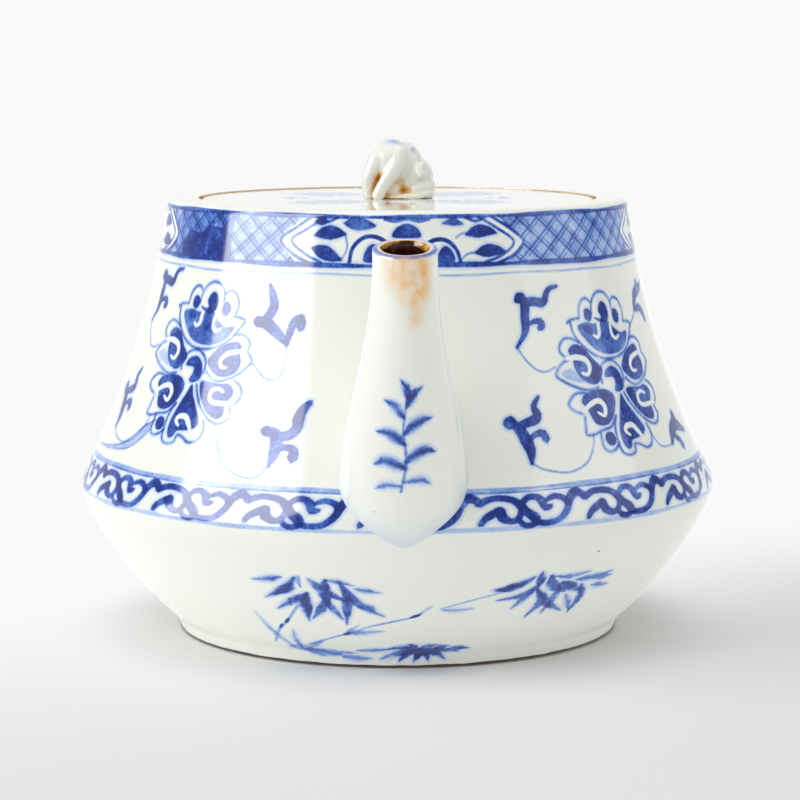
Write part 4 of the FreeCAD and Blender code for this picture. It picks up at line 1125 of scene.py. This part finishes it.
class TEAPOT_OT_bowl(bpy.types.Operator):
    """Lower bowl with its bamboo, floor and foot ring"""

    bl_idname = "teapot.bowl"
    bl_label = "Bowl"

    def execute(self, context):
        form = context.scene.teapot_form
        profile, shell = Profile(form), Shell()
        low, high = skin(shell, profile, pot_brushwork(), -profile.drop3, 0, 22)[:2]
        recess, inside, bevel = form.base_recess / MM, profile.foot_in, 0.4
        foot = [(profile.foot_out - bevel, 0), (inside + bevel, 0), (inside, bevel),
                (inside, recess), (inside * 0.5, recess)]
        shell.rings(low, foot, 180, pole=recess)
        # The inside follows the outside down to the floor.
        floor = recess + form.floor_thick / MM
        r, z, nr, nz = profile.at(-np.linspace(0, profile.drop2, 30))
        inner = zip(r - profile.wall_thick * nr, z - profile.wall_thick * nz)
        inner = [(a, b) for a, b in inner if b > floor + 0.3]
        inner += [(inner[-1][0] - 2, floor), (inner[-1][0] * 0.5, floor)]
        shell.rings(high, inner, 120, tea=0.24, pole=floor)
        obj = shell.build("lower_bowl_painted", strip_map(shell, 0, profile.keel[1]),
                          "underglaze_porcelain_footed", True)
        place(obj, "pot", "porcelain", "lower_bowl")
        return {"FINISHED"}


def circle(name, steps, radius, spot, tilt=0.0):
    """A circle in edit mode to draw a piece out of, in millimetres."""
    bpy.ops.object.select_all(action="DESELECT")
    bpy.ops.mesh.primitive_circle_add(
        vertices=steps, radius=radius * MM, location=[x * MM for x in spot], rotation=(tilt, 0, 0))
    obj = bpy.context.object
    obj.name = name
    bpy.ops.object.transform_apply(location=True, rotation=True, scale=True)
    bpy.ops.object.mode_set(mode="EDIT")
    bpy.ops.mesh.select_all(action="SELECT")
    return obj


def draw_out(move, size, centre):
    """Draws the picked rim out by a move and resizes it about a centre, in millimetres."""
    bpy.ops.mesh.extrude_region_move(TRANSFORM_OT_translate={"value": [x * MM for x in move]})
    bpy.ops.transform.resize(value=size, center_override=[x * MM for x in centre])


def pick_rims():
    """Picks the open edges of the mesh in edit mode."""
    bpy.ops.mesh.select_all(action="DESELECT")
    bpy.ops.mesh.select_mode(type="EDGE")
    bpy.ops.mesh.select_non_manifold(extend=False)


def turned_ring(name, profile, tea):
    """A ring turned from a circle: drawn out through its profile and bridged shut."""
    r0, z0 = profile[0]
    obj = circle(name, 160, r0, (0, 0, z0))
    for r, z in profile[1:]:
        draw_out((0, 0, z - z0), (r / r0, r / r0, 1), (0, 0, 0))
        r0, z0 = r, z
    pick_rims()
    bpy.ops.mesh.bridge_edge_loops()
    faces_out(35)
    stained(obj, tea)
    obj.data.materials.append(finish())
    return obj


class TEAPOT_OT_rims(bpy.types.Operator):
    """Ledge inside the mouth that the lid rests on, and the collar under the lid"""

    bl_idname = "teapot.rims"
    bl_label = "Ledge and collar"

    def execute(self, context):
        r1, r2, z1, z2 = span("lid_ledge")
        edge = [(r1 + 0.8, z1), (r1, z1 + 0.8), (r1, z2 - 0.6), (r1 + 0.6, z2), (r2, z2), (r2, z1)]
        obj = turned_ring("lid_ledge_glazed", edge, 0.3)
        place(obj, "pot", "porcelain", "lid_ledge")
        r1, r2, z1, z2 = span("lid_collar")
        edge = [(r1, z2), (r1, z1 + 1), (r1 + 1, z1), (r2 - 1, z1), (r2, z1 + 1), (r2, z2)]
        obj = turned_ring("lid_collar_glazed", edge, 0.22)
        place(obj, "lid", "porcelain", "lid_collar")
        return {"FINISHED"}


class Spout:
    """Stations of the spout from its root (0) to its mouth (1)."""

    root_reach, root_height = 72, 44.8  # mm before the pot's axis and over the table
    reach, rise = 24, 58.2  # mm from root to mouth
    mouth_lean, root_lean = 13, 65  # degrees off upright
    reach_ease, taper_ease = 1.35, 1.15
    run_on = 60  # mm for each share that the axis runs on straight below the root
    bore_taper = 1.1  # mm by which the wall is thicker at the root

    def __init__(self, form):
        self.root, self.tip = form.spout_root / MM, form.spout_tip / MM
        self.lip = form.spout_lip / MM

    def station(self, share):
        """Centre (y, z), radius and lean at given shares."""
        held = np.clip(share, 0, 1)
        reach = self.root_reach + self.reach * (1 - (1 - held) ** self.reach_ease)
        rise = self.root_height + self.rise * held
        ease = (1 + np.cos(math.pi * held)) / 2
        radius = self.tip + (self.root - self.tip) * ease ** self.taper_ease
        lean = np.radians(self.mouth_lean + (self.root_lean - self.mouth_lean) * ease)
        below = np.minimum(share, 0) * self.run_on
        return -reach - below * np.sin(lean), rise + below * np.cos(lean), radius, lean

    def at(self, turn, share, bore=False):
        """Points on the outside or the bore, at an angle round from the front and a share along."""
        y, z, radius, lean = self.station(share)
        if bore:
            radius = radius - self.lip - self.bore_taper * (1 - np.clip(share, 0, 1))
        out = radius * np.cos(turn)
        return np.stack((radius * np.sin(turn), y - out * np.cos(lean), z - out * np.sin(lean)), -1)

    def root_share(self, profile, turn, bore=False):
        """Share at which each angle's line dives under the wall's skin."""
        shares = np.linspace(-0.45, 0.9, 700)
        t, s = np.meshgrid(turn, shares, indexing="ij")
        pts = self.at(t, s, bore)
        deep = np.hypot(pts[..., 0], pts[..., 1]) < profile.radius_at(pts[..., 2]) - SINK
        last = np.where(deep.any(1), deep.shape[1] - 1 - deep[:, ::-1].argmax(1), 0)
        return shares[last]


class TEAPOT_OT_spout(bpy.types.Operator):
    """Spout with its bore, rounded lip and leafy sprig"""

    bl_idname = "teapot.spout"
    bl_label = "Spout"

    def execute(self, context):
        form = context.scene.teapot_form
        profile, spout, shell = Profile(form), Spout(form), Shell()
        wide, tall, top = 11.0, 72.0, 0.986  # drawing mm per radian and per length; foot of the lip
        turn = np.linspace(-math.pi, math.pi, 73)
        root = spout.root_share(profile, turn)
        border = np.concatenate((
            np.column_stack((turn * wide, root * tall)),
            np.column_stack((turn[::-1] * wide, np.full(len(turn), top * tall)))))
        rows = np.linspace(-0.3, top, 44)[:-1]
        grid = np.array([(a * wide, b * tall) for a, foot in zip(turn, root) for b in rows
                         if b > foot + 0.008])
        strokes = drawn(SPRIG, (0, 0.235 * tall), scale=(1.1, 1.05))
        flat, tris = lay_sheet(strokes, grid, [(border, True)], lambda mid: within(mid, border))
        phi, share = flat[:, 0] / wide, flat[:, 1] / tall
        points = self.outside(spout, profile, phi, share)
        d1 = self.outside(spout, profile, phi + 1e-3, share) - points
        d2 = self.outside(spout, profile, phi, share + 1e-3) - points
        normals = np.cross(d1, d2)
        normals /= np.linalg.norm(normals, axis=1)[:, None] + 1e-12
        # Cobalt runs into the joint with the wall.
        gap = np.hypot(points[:, 0], points[:, 1]) - profile.radius_at(points[:, 2])
        joint = 0.13 * np.exp(-np.clip(gap, 0, None) / 1.4) * (share < 0.6)
        ink = np.maximum(ink_at(flat, strokes), joint)
        ids, used = shell.sheet(points, normals, ink, self.tea_runs(phi, share), tris,
                                sewn(flat, math.pi * wide))
        flat = flat[used]
        angle = dict(zip(ids, flat[:, 0] / wide))
        last = ids[np.abs(flat[:, 1] - top * tall) < SAME_LEVEL]
        phi = turn[:-1]

        def turn_of(which):
            return np.array([angle[k] for k in which])

        def carry_on(points, ink=0.0, tea=0.0):
            nonlocal last
            new = shell.add(points, ink=ink, tea=tea)
            angle.update(zip(new, phi))
            shell.zip(last, new, turn_of)
            last = new

        y, z, radius, lean = spout.station(np.array(1.0))
        axis = np.array((0, -math.sin(lean), math.cos(lean)))
        centre = np.array((0, y, z))
        lip = spout.lip
        front = 0.16 * np.exp(-(phi / 0.9) ** 2) + 0.04
        # Rings over the lip: mm in from the outside, mm below the mouth, cobalt.
        for off, drop, ink in ((0.1, 0.35, 0.5), (0.5, 0.08, 0.75), (0.9, 0, 0.5),
                               (lip - 0.8, 0, 0.12), (lip - 0.25, 0.2, 0), (lip, 0.8, 0)):
            r = radius - off
            ring = np.column_stack((r * np.sin(phi), -r * np.cos(phi) * math.cos(lean),
                                    -r * np.cos(phi) * math.sin(lean)))
            carry_on(centre - axis * drop + ring, ink, front + 0.9 * (off > lip - 0.4))
        # The bore, brown with old tea, down to where it dives under the wall.
        deep = spout.root_share(profile, phi, True)
        for step in np.linspace(0, 1, 30)[1:]:
            carry_on(spout.at(phi, 0.97 * (1 - step) + deep * step, True), tea=2.2)
        foot = np.interp(flat[:, 0] / wide, turn, root) * tall
        shell.zip(last, ids[np.abs(flat[:, 1] - foot) < 2 * SAME_LEVEL], turn_of)
        obj = shell.build("spout_painted")
        place(obj, "pot", "porcelain", "spout")
        return {"FINISHED"}

    @staticmethod
    def tea_runs(turn, share):
        """Old tea below the front of the root, and in four runs down from the mouth."""
        tea = 0.1 * np.exp(-(turn / 0.8) ** 2) * np.clip((0.06 - share) / 0.2, 0, 1)
        # Angle, width, the share at which a run ends, and how much it left.
        for spot, wide, foot, much in ((-0.45, 0.3, 0.84, 0.26), (-0.1, 0.2, 0.8, 0.3),
                                       (0.3, 0.24, 0.72, 0.4), (0.62, 0.22, 0.8, 0.32)):
            down = np.clip((share - foot) / 0.1, 0, 1)
            tea += much * np.exp(-((turn - spot) / wide) ** 2) * down
        return tea

    @staticmethod
    def outside(spout, profile, turn, share):
        """Outside of the spout, spread a little where slip was smoothed round its root."""
        pts = spout.at(turn, share)
        gap = np.hypot(pts[:, 0], pts[:, 1]) - profile.radius_at(pts[:, 2])
        y, z = spout.station(share)[:2]
        core = np.column_stack((np.zeros_like(y), y, z))
        spread = 1 + 0.03 * np.exp(-np.clip(gap, 0, None) / 1.6)
        return core + (pts - core) * spread[:, None]


class TEAPOT_OT_handle(bpy.types.Operator):
    """Ear handle: an oval drawn out of the wall, round two bends and back in"""

    bl_idname = "teapot.handle"
    bl_label = "Handle"

    def execute(self, context):
        form = context.scene.teapot_form
        profile = Profile(form)
        top_round, low_round = form.handle_top_round / MM, form.handle_low_round / MM
        half = (form.handle_width / MM / 2, form.handle_thick / MM / 2)
        below, depth, lowest = 9.1, 2.2, 40  # mm under the rim, into the wall, over the table
        level = span("upper_wall")[3] - below
        back = node_points("handle")[:, 1].max() - form.handle_thick / MM / 2
        bend = level - top_round  # height at which the upper bend ends and the lower one begins
        begin = float(profile.radius_at(level)) - depth
        obj = circle("handle_pulled", 40, 1, (0, begin, level), math.pi / 2)
        bpy.ops.transform.resize(value=(half[0] * 1.32, 1, half[1] * 1.5),
                                 center_override=(0, 0, level * MM))
        # How far back the oval is drawn, and the sizes it takes there.
        here = begin
        for y, wide, thick in ((begin + 2.4, .9, .87), (begin + 3.6, .93, .9),
                               (begin + 5.4, .96, .93), (begin + 8, .945, .92),
                               (back - top_round, 1, 1)):
            draw_out((0, y - here, 0), (wide, 1, thick), (0, 0, level))
            here = y
        turn = math.radians(75)
        for hub, angle in ((back - top_round, math.pi / 2), (back - low_round, turn)):
            bpy.ops.mesh.spin(
                steps=18, angle=angle, center=(0, hub * MM, bend * MM), axis=(1, 0, 0))
        y = back - low_round + low_round * math.cos(turn)
        z = bend - low_round * math.sin(turn)
        way = (-math.sin(turn), -math.cos(turn))
        # Straight on from the lower bend until the oval is in the wall, widening as it goes.
        run = 0.0
        while y + way[0] * run > float(profile.radius_at(z + way[1] * run)) - SINK:
            run += 0.1
        for share, size in ((0.55, 1.0), (0.2, 1.06), (0.13, 1.12), (0.12, 1.2)):
            step = run * share
            y, z = y + way[0] * step, z + way[1] * step
            draw_out((0, way[0] * step, way[1] * step), (size, size, size), (0, y, z))
        pick_rims()
        bpy.ops.mesh.fill_holes(sides=0)
        faces_out(50)
        co = np.array([v.co[:] for v in obj.data.vertices]) / MM
        if abs(co[:, 1].max() - back - half[1]) > 0.5 or co[:, 2].min() < lowest:
            raise RuntimeError(f"the handle was turned the wrong way: {co.min(0)} {co.max(0)}")
        stained(obj)
        obj.data.materials.append(finish())
        place(obj, "pot", "porcelain", "handle")
        return {"FINISHED"}


class TEAPOT_OT_lid(bpy.types.Operator):
    """Flat lid with its painted lotus ring and steam hole"""

    bl_idname = "teapot.lid"
    bl_label = "Lid"

    def execute(self, context):
        rim, low, high = span("lid_plate")[1:]
        edge = context.scene.teapot_form.lid_round / MM
        lotus_out, leaf_out, leaf_side, hole_out, bore = 24, 14, 12, 17, 1.3  # mm
        strokes = []
        for k in range(4):
            a = math.radians(45 + 90 * k)
            out, side = self.ways(a)
            strokes += drawn(LOTUS, out * lotus_out, side, out, (.56, .56), 0.85)
            out, side = self.ways(a + math.pi / 4)
            for hand in (1, -1):
                spot = out * leaf_out + side * leaf_side * hand
                strokes += drawn(FLOURISH, spot, side, out, (.62 * hand, .62), 0.9)
        ring = np.linspace(0, 2 * math.pi, 16, endpoint=False)
        hole = np.column_stack((bore * np.cos(ring), hole_out + bore * np.sin(ring)))
        shell = Shell()
        top, top_rim = self.disc(shell, strokes, rim - edge, high, hole, 1.0)
        under, under_rim = self.disc(shell, [], rim - 0.3, low, hole, -1.0)
        side = [(rim - 0.25, high - 0.12), (rim, high - edge), (rim, low + 0.3)]
        shell.rings(top, side, 180, tea=0.36, end=under)
        shell.wrap(top_rim, under_rim)
        obj = shell.build("lid_plate_painted", self.disc_map(shell, rim))
        place(obj, "lid", "porcelain", "lid_plate")
        return {"FINISHED"}

    @staticmethod
    def ways(angle):
        """Directions outwards and sideways at an angle round the lid."""
        x, y = math.sin(angle), math.cos(angle)
        return np.array((x, -y)), np.array((y, x))

    @staticmethod
    def disc(shell, strokes, radius, height, hole, facing):
        """A painted disc with the steam hole left open; gives its rim and the hole's."""
        turn = np.linspace(0, 2 * math.pi, 180, endpoint=False)
        border = radius * np.column_stack((np.sin(turn), np.cos(turn)))
        grid = np.array([(r * math.sin(a), r * math.cos(a)) for r in np.linspace(4, radius - 3, 10)
                         for a in np.linspace(0, 2 * math.pi, 48, endpoint=False)])
        flat, tris = lay_sheet(strokes, grid, [(border, True), (hole, True)],
                               lambda mid: (np.hypot(*mid.T) < radius) & ~within(mid, hole))
        points = np.column_stack((flat, np.full(len(flat), height)))
        normals = np.tile((0, 0, facing), (len(flat), 1))
        ids = shell.add(points, normals, ink_at(flat, strokes), 0.0 if facing > 0 else 0.3)
        shell.faces += [tuple(f) for f in ids[tris]]
        return [ids[[np.linalg.norm(flat - p, axis=1).argmin() for p in ring]]
                for ring in (border, hole)]

    @staticmethod
    def disc_map(shell, rim):
        """UV layout of the lid: its top in one square, all else in a smaller one."""
        def lay(corner, sizes):
            starts, face = by_face(sizes)
            upper = np.logical_and.reduceat(shell.normals[corner][:, 2] > 0.5, starts)[face]
            flat = shell.points[corner][:, :2] / rim / 2 + 0.5
            return np.where(upper[:, None], 0.02 + 0.74 * flat, 0.78 + 0.2 * flat)
        return lay


def limb(points, sizes, count):
    """Balls set close along a bent line, their sizes eased along it."""
    path = curve_through(points, step=0.05)
    at = np.linspace(0, len(path) - 1, count).astype(int)
    size = np.interp(np.linspace(0, 1, count), np.linspace(0, 1, len(sizes)), sizes)
    return [(path[k], (s, s, s)) for k, s in zip(at, size)]


class TEAPOT_OT_knob(bpy.types.Operator):
    """Knob: a small moulded beast crouching, head tucked on its forelegs"""

    bl_idname = "teapot.knob"
    bl_label = "Knob"

    def execute(self, context):
        base = span("lid_plate")[3]
        balls = [  # centre over the lid and half axes, in mm
            ((-1.9, -.8, 9.05), (6.1, 5.7, 6)),
            ((1.3, .4, 8), (5.2, 5.8, 6.3)),
            ((3.6, 1, 5.2), (5.5, 6, 5.6)),
            ((5.4, .8, 2.7), (4.3, 6, 3.4)),
            ((6.6, -.2, 1.2), (2.9, 5.2, 1.7)),
            ((-1.9, -3.2, 2.4), (3, 2.6, 2.8)),
            ((3.2, -4.4, .6), (3.4, 2.2, 1)),
            ((0, 0, .5), (8.2, 6.4, 1.4)),
            *limb([(.4, -4, 11.4), (-.1, -4.9, 9.4), (-1.5, -5.7, 6.7), (-3.6, -6.2, 3.7),
                   (-4.9, -6.3, 1.1)], (2.2, 2.2, 2, 1.5, 1.6), 18),
            *limb([(-5, -3, 9.4), (-6.5, -3.5, 6.6), (-7.3, -3.3, 3.6), (-7.2, -3.3, 1.2)],
                  (2.9, 2.5, 1.9, 1.6), 14),
            *limb([(-5.2, 2.4, 8), (-6.6, 3, 4.6), (-6.7, 3.2, 1.2)], (2.2, 1.9, 1.6), 12),
            *limb([(6.1, -3.4, 8.5), (5.1, -4.2, 7.4), (5.7, -4.7, 6.2)], (.9, 1.3, 1.2), 10),
        ]
        parts = []
        bpy.ops.object.select_all(action="DESELECT")
        for (x, y, z), size in balls:
            bpy.ops.mesh.primitive_uv_sphere_add(
                segments=24, ring_count=14, radius=MM,
                location=(x * MM, y * MM, z * MM + base * MM))
            context.object.scale = size
            bpy.ops.object.transform_apply(location=True, rotation=True, scale=True)
            parts.append(context.object)
        for part in parts:
            part.select_set(True)
        context.view_layer.objects.active = parts[0]
        bpy.ops.object.join()
        obj = context.object
        obj.name = "knob_moulded"
        soften = obj.modifiers.new("one skin", "REMESH")
        soften.mode = "VOXEL"
        soften.voxel_size = 0.2 * MM
        bpy.ops.object.modifier_apply(modifier=soften.name)
        melt = obj.modifiers.new("glaze over joins", "SMOOTH")
        melt.factor = 0.5
        melt.iterations = 20
        bpy.ops.object.modifier_apply(modifier=melt.name)
        bpy.ops.object.mode_set(mode="EDIT")
        bpy.ops.mesh.select_all(action="SELECT")
        bpy.ops.mesh.bisect(plane_co=(0, 0, base * MM), plane_no=(0, 0, 1), clear_inner=True,
                            use_fill=True)
        bpy.ops.mesh.select_all(action="SELECT")
        bpy.ops.mesh.dissolve_degenerate(threshold=1e-6)
        bpy.ops.mesh.select_all(action="SELECT")
        bpy.ops.mesh.quads_convert_to_tris()
        bpy.ops.object.mode_set(mode="OBJECT")
        obj.data.validate(clean_customdata=False)
        faces_out(60)
        self.stain_and_painted_shade(obj, base)
        obj.data.materials.append(finish())
        place(obj, "lid", "figure",
              "knob_body", "knob_head", "knob_foreleg_left", "knob_foreleg_right", "knob_tail")
        return {"FINISHED"}

    @staticmethod
    def stain_and_painted_shade(obj, base):
        """Tea stain with painted shade in the hollows, and blue-grey dabs on the head."""
        reach = 3.4 * MM  # a point is in a hollow where other clay is nearer than this
        mesh = obj.data
        tree = BVHTree.FromPolygons([v.co for v in mesh.vertices],
                                    [p.vertices[:] for p in mesh.polygons])
        golden = math.pi * (3 - 5 ** 0.5)
        rays = []
        for k, h in enumerate(np.linspace(-0.96, 0.96, 26)):
            r = math.sqrt(1 - h * h)
            rays.append(Vector((r * math.cos(golden * k), r * math.sin(golden * k), h)))
        tea = np.zeros(len(mesh.vertices))
        for k, v in enumerate(mesh.vertices):
            shut = seen = 0
            for ray in rays:
                face = ray.dot(v.normal)
                if face > 0.1:
                    seen += face
                    if tree.ray_cast(v.co + v.normal * 2e-5, ray, reach)[0]:
                        shut += face
            tea[k] = shut / max(seen, 1e-6)
        # Brown where the clay is shut in: tea stain together with painted shade in the hollows.
        tea = np.clip((tea - 0.1) / 0.5, 0, 1) * 0.55 + 0.03
        x, y, z = (np.array([v.co[:] for v in mesh.vertices]) / MM - (0, 0, base)).T
        ink = 0.3 * np.exp(-((x + 1.2) / 2.2) ** 2 - ((y + 3.2) / 1.2) ** 2) * (z > 11)
        ink += 0.4 * np.exp(-((x - 3.8) / .6) ** 2 - ((z - 12.2) / .6) ** 2)
        stained(obj, tea, np.clip(ink, 0, 1))


# Stage. Lengths are in metres here.

WHITE = (0.945, 0.945, 0.945, 1)
# Lamps: name, azimuth and height in degrees, distance, width and height of the box, watts, lift,
# and gleam: true where it shows in the glaze only, false where it lights only, none for both.
LAMPS = (
    ("softbox_left", -62, 30, 1.3, 0.95, 1.15, 9.5, 0.06, False),
    ("softbox_left_gleam", -66, 0, 1.3, 1.2, 1.3, 47, 0.67, True),
    ("softbox_right", 80, 28, 1.6, 1.2, 1.4, 5.6, 0.06, None),
    ("softbox_top", 0, 80, 1.4, 1.3, 1.3, 7, 0.06, None),
)


class TEAPOT_OT_stage(bpy.types.Operator):
    """Pale floor, soft studio light and the camera"""

    bl_idname = "teapot.stage"
    bl_label = "Stage"

    def execute(self, context):
        scene = context.scene
        floor = self.floor(context)
        lamps = [self.lamp(context, *values) for values in LAMPS]
        scene.world = self.room()
        away, height = 0.7109, 0.1489
        turn, down, aside = math.radians(-1.0), 7.37, 0.05  # the last two in degrees
        bpy.ops.object.camera_add(
            location=(away * math.sin(turn), -away * math.cos(turn), height),
            rotation=(math.radians(90 - down), 0, turn - math.radians(aside)))
        camera = context.object
        camera.name = "photo_camera"
        camera.data.sensor_width = 36
        camera.data.lens = 126.85
        camera.data.clip_start = 0.01
        scene.camera = camera
        scene.view_settings.view_transform = "Standard"
        return {"FINISHED"}

    @staticmethod
    def floor(context):
        """A wide sheet of white paper that glows: painted light on the left and behind, and up
        under the pot.
        """
        bpy.ops.object.select_all(action="DESELECT")
        bpy.ops.mesh.primitive_plane_add(size=13, location=(0, 0, -0.0002))
        floor = context.object
        floor.name = "studio_floor"
        bpy.ops.object.transform_apply(location=True, rotation=True, scale=True)
        paper = bpy.data.materials.new("paper_with_painted_glow")
        paper.use_nodes = True
        tree = paper.node_tree
        tree.nodes.clear()
        where = add(tree, "ShaderNodeTexCoord").outputs["Object"]
        axes = add(tree, "ShaderNodeSeparateXYZ", [("Vector", where)])
        # Painted light: white glows on the left and behind, fading out near the pot; its shadow
        # falls on the rest.
        across = add(tree, "ShaderNodeMath", [
            (0, axes.outputs["X"]), (1, -0.6), (2, axes.outputs["Y"])], operation="MULTIPLY_ADD")
        far = add(tree, "ShaderNodeMapRange", [("Value", across.outputs[0])],
                  interpolation_type="SMOOTHSTEP", **ends(-0.12, 0.09))
        ring = add(tree, "ShaderNodeVectorMath", [(0, where)], operation="LENGTH")
        clear = add(tree, "ShaderNodeMapRange", [("Value", ring.outputs["Value"])],
                    interpolation_type="SMOOTHSTEP", **ends(0.056, 0.088))
        share = add(tree, "ShaderNodeMath", [(0, far.outputs[0]), (1, clear.outputs[0])],
                    operation="MULTIPLY")
        flat = add(tree, "ShaderNodeBsdfDiffuse", Color=(0.75, 0.75, 0.75, 1))
        glow = add(tree, "ShaderNodeEmission", Color=WHITE, Strength=1.0)
        both = add(tree, "ShaderNodeMixShader", [
            (0, share.outputs[0]), (1, flat.outputs[0]), (2, glow.outputs[0])])
        # Painted light: unseen by the camera, the paper glows up under the bowl and the spout, as a
        # wide white table would.
        eye = add(tree, "ShaderNodeLightPath").outputs["Is Camera Ray"]
        unseen_glow = add(tree, "ShaderNodeMapRange", [("Value", eye)], **ends(0, 1, 0.21, 0.0))
        under = add(tree, "ShaderNodeEmission", [("Strength", unseen_glow.outputs[0])],
                    Color=(1, 1, 0.98, 1))
        whole = add(tree, "ShaderNodeAddShader", [(0, both.outputs[0]), (1, under.outputs[0])])
        add(tree, "ShaderNodeOutputMaterial", [("Surface", whole.outputs[0])])
        floor.data.materials.append(paper)
        return floor

    @staticmethod
    def lamp(context, name, azimuth, height, away, wide, tall, power, lift, gleam):
        """A softbox that faces the pot."""
        a, e = math.radians(azimuth), math.radians(height)
        way = Vector((math.sin(a) * math.cos(e), -math.cos(a) * math.cos(e), math.sin(e)))
        bpy.ops.object.light_add(type="AREA", location=way * away + Vector((0, 0, lift)))
        lamp = context.object
        lamp.name = name
        lamp.rotation_euler = way.to_track_quat("Z", "Y").to_euler()
        lamp.data.shape = "RECTANGLE"
        lamp.data.size, lamp.data.size_y = wide, tall
        lamp.data.energy = power
        if gleam is not None:
            lamp.visible_diffuse = not gleam
            lamp.visible_glossy = gleam
        return lamp

    @staticmethod
    def room():
        """A white room, brighter to the camera than to the pot."""
        world = bpy.data.worlds.new("white_room")
        world.use_nodes = True
        tree = world.node_tree
        tree.nodes.clear()
        path = add(tree, "ShaderNodeLightPath")
        light = add(tree, "ShaderNodeBackground", Color=(0.98, 0.99, 1, 1), Strength=0.4)
        seen = add(tree, "ShaderNodeBackground", Color=WHITE, Strength=1.0)
        # Glossy rays meet the white backdrop behind the pot and a dimmer room before it.
        where = add(tree, "ShaderNodeTexCoord").outputs["Generated"]
        way = add(tree, "ShaderNodeSeparateXYZ", [("Vector", where)])
        bright = add(tree, "ShaderNodeMapRange", [("Value", way.outputs["Y"])],
                     interpolation_type="SMOOTHSTEP", **ends(0.3, 0.85, 0.33, WHITE[0]))
        gloss = add(tree, "ShaderNodeBackground", [("Strength", bright.outputs[0])],
                    Color=(1, 1, 1, 1))
        dim = add(tree, "ShaderNodeMixShader", [
            (0, path.outputs["Is Glossy Ray"]), (1, light.outputs[0]), (2, gloss.outputs[0])])
        mix = add(tree, "ShaderNodeMixShader", [
            (0, path.outputs["Is Camera Ray"]), (1, dim.outputs[0]), (2, seen.outputs[0])])
        add(tree, "ShaderNodeOutputWorld", [("Surface", mix.outputs[0])])
        return world


class TEAPOT_PT_build(bpy.types.Panel):
    """Lists the pieces in the order they are built"""

    bl_label = "Teapot"
    bl_idname = "TEAPOT_PT_build"
    bl_space_type = "VIEW_3D"
    bl_region_type = "UI"
    bl_category = "Teapot"

    def draw(self, context):
        for piece in PIECES:
            self.layout.operator(piece.bl_idname)


PIECES = (TEAPOT_OT_wall, TEAPOT_OT_bowl, TEAPOT_OT_rims, TEAPOT_OT_spout, TEAPOT_OT_handle,
          TEAPOT_OT_lid, TEAPOT_OT_knob, TEAPOT_OT_stage)
CLASSES = (TeapotForm, TeapotGlaze) + PIECES + (TEAPOT_PT_build,)


def register():
    for one in CLASSES:
        bpy.utils.register_class(one)
    bpy.types.Scene.teapot_form = bpy.props.PointerProperty(type=TeapotForm)
    bpy.types.Scene.teapot_glaze = bpy.props.PointerProperty(type=TeapotGlaze)


def unregister():
    del bpy.types.Scene.teapot_glaze
    del bpy.types.Scene.teapot_form
    for one in reversed(CLASSES):
        bpy.utils.unregister_class(one)


def main():
    register()
    bpy.ops.teapot.wall()
    bpy.ops.teapot.bowl()
    bpy.ops.teapot.rims()
    bpy.ops.teapot.spout()
    bpy.ops.teapot.handle()
    bpy.ops.teapot.lid()
    bpy.ops.teapot.knob()
    bpy.ops.teapot.stage()


if __name__ == "__main__":
    main()
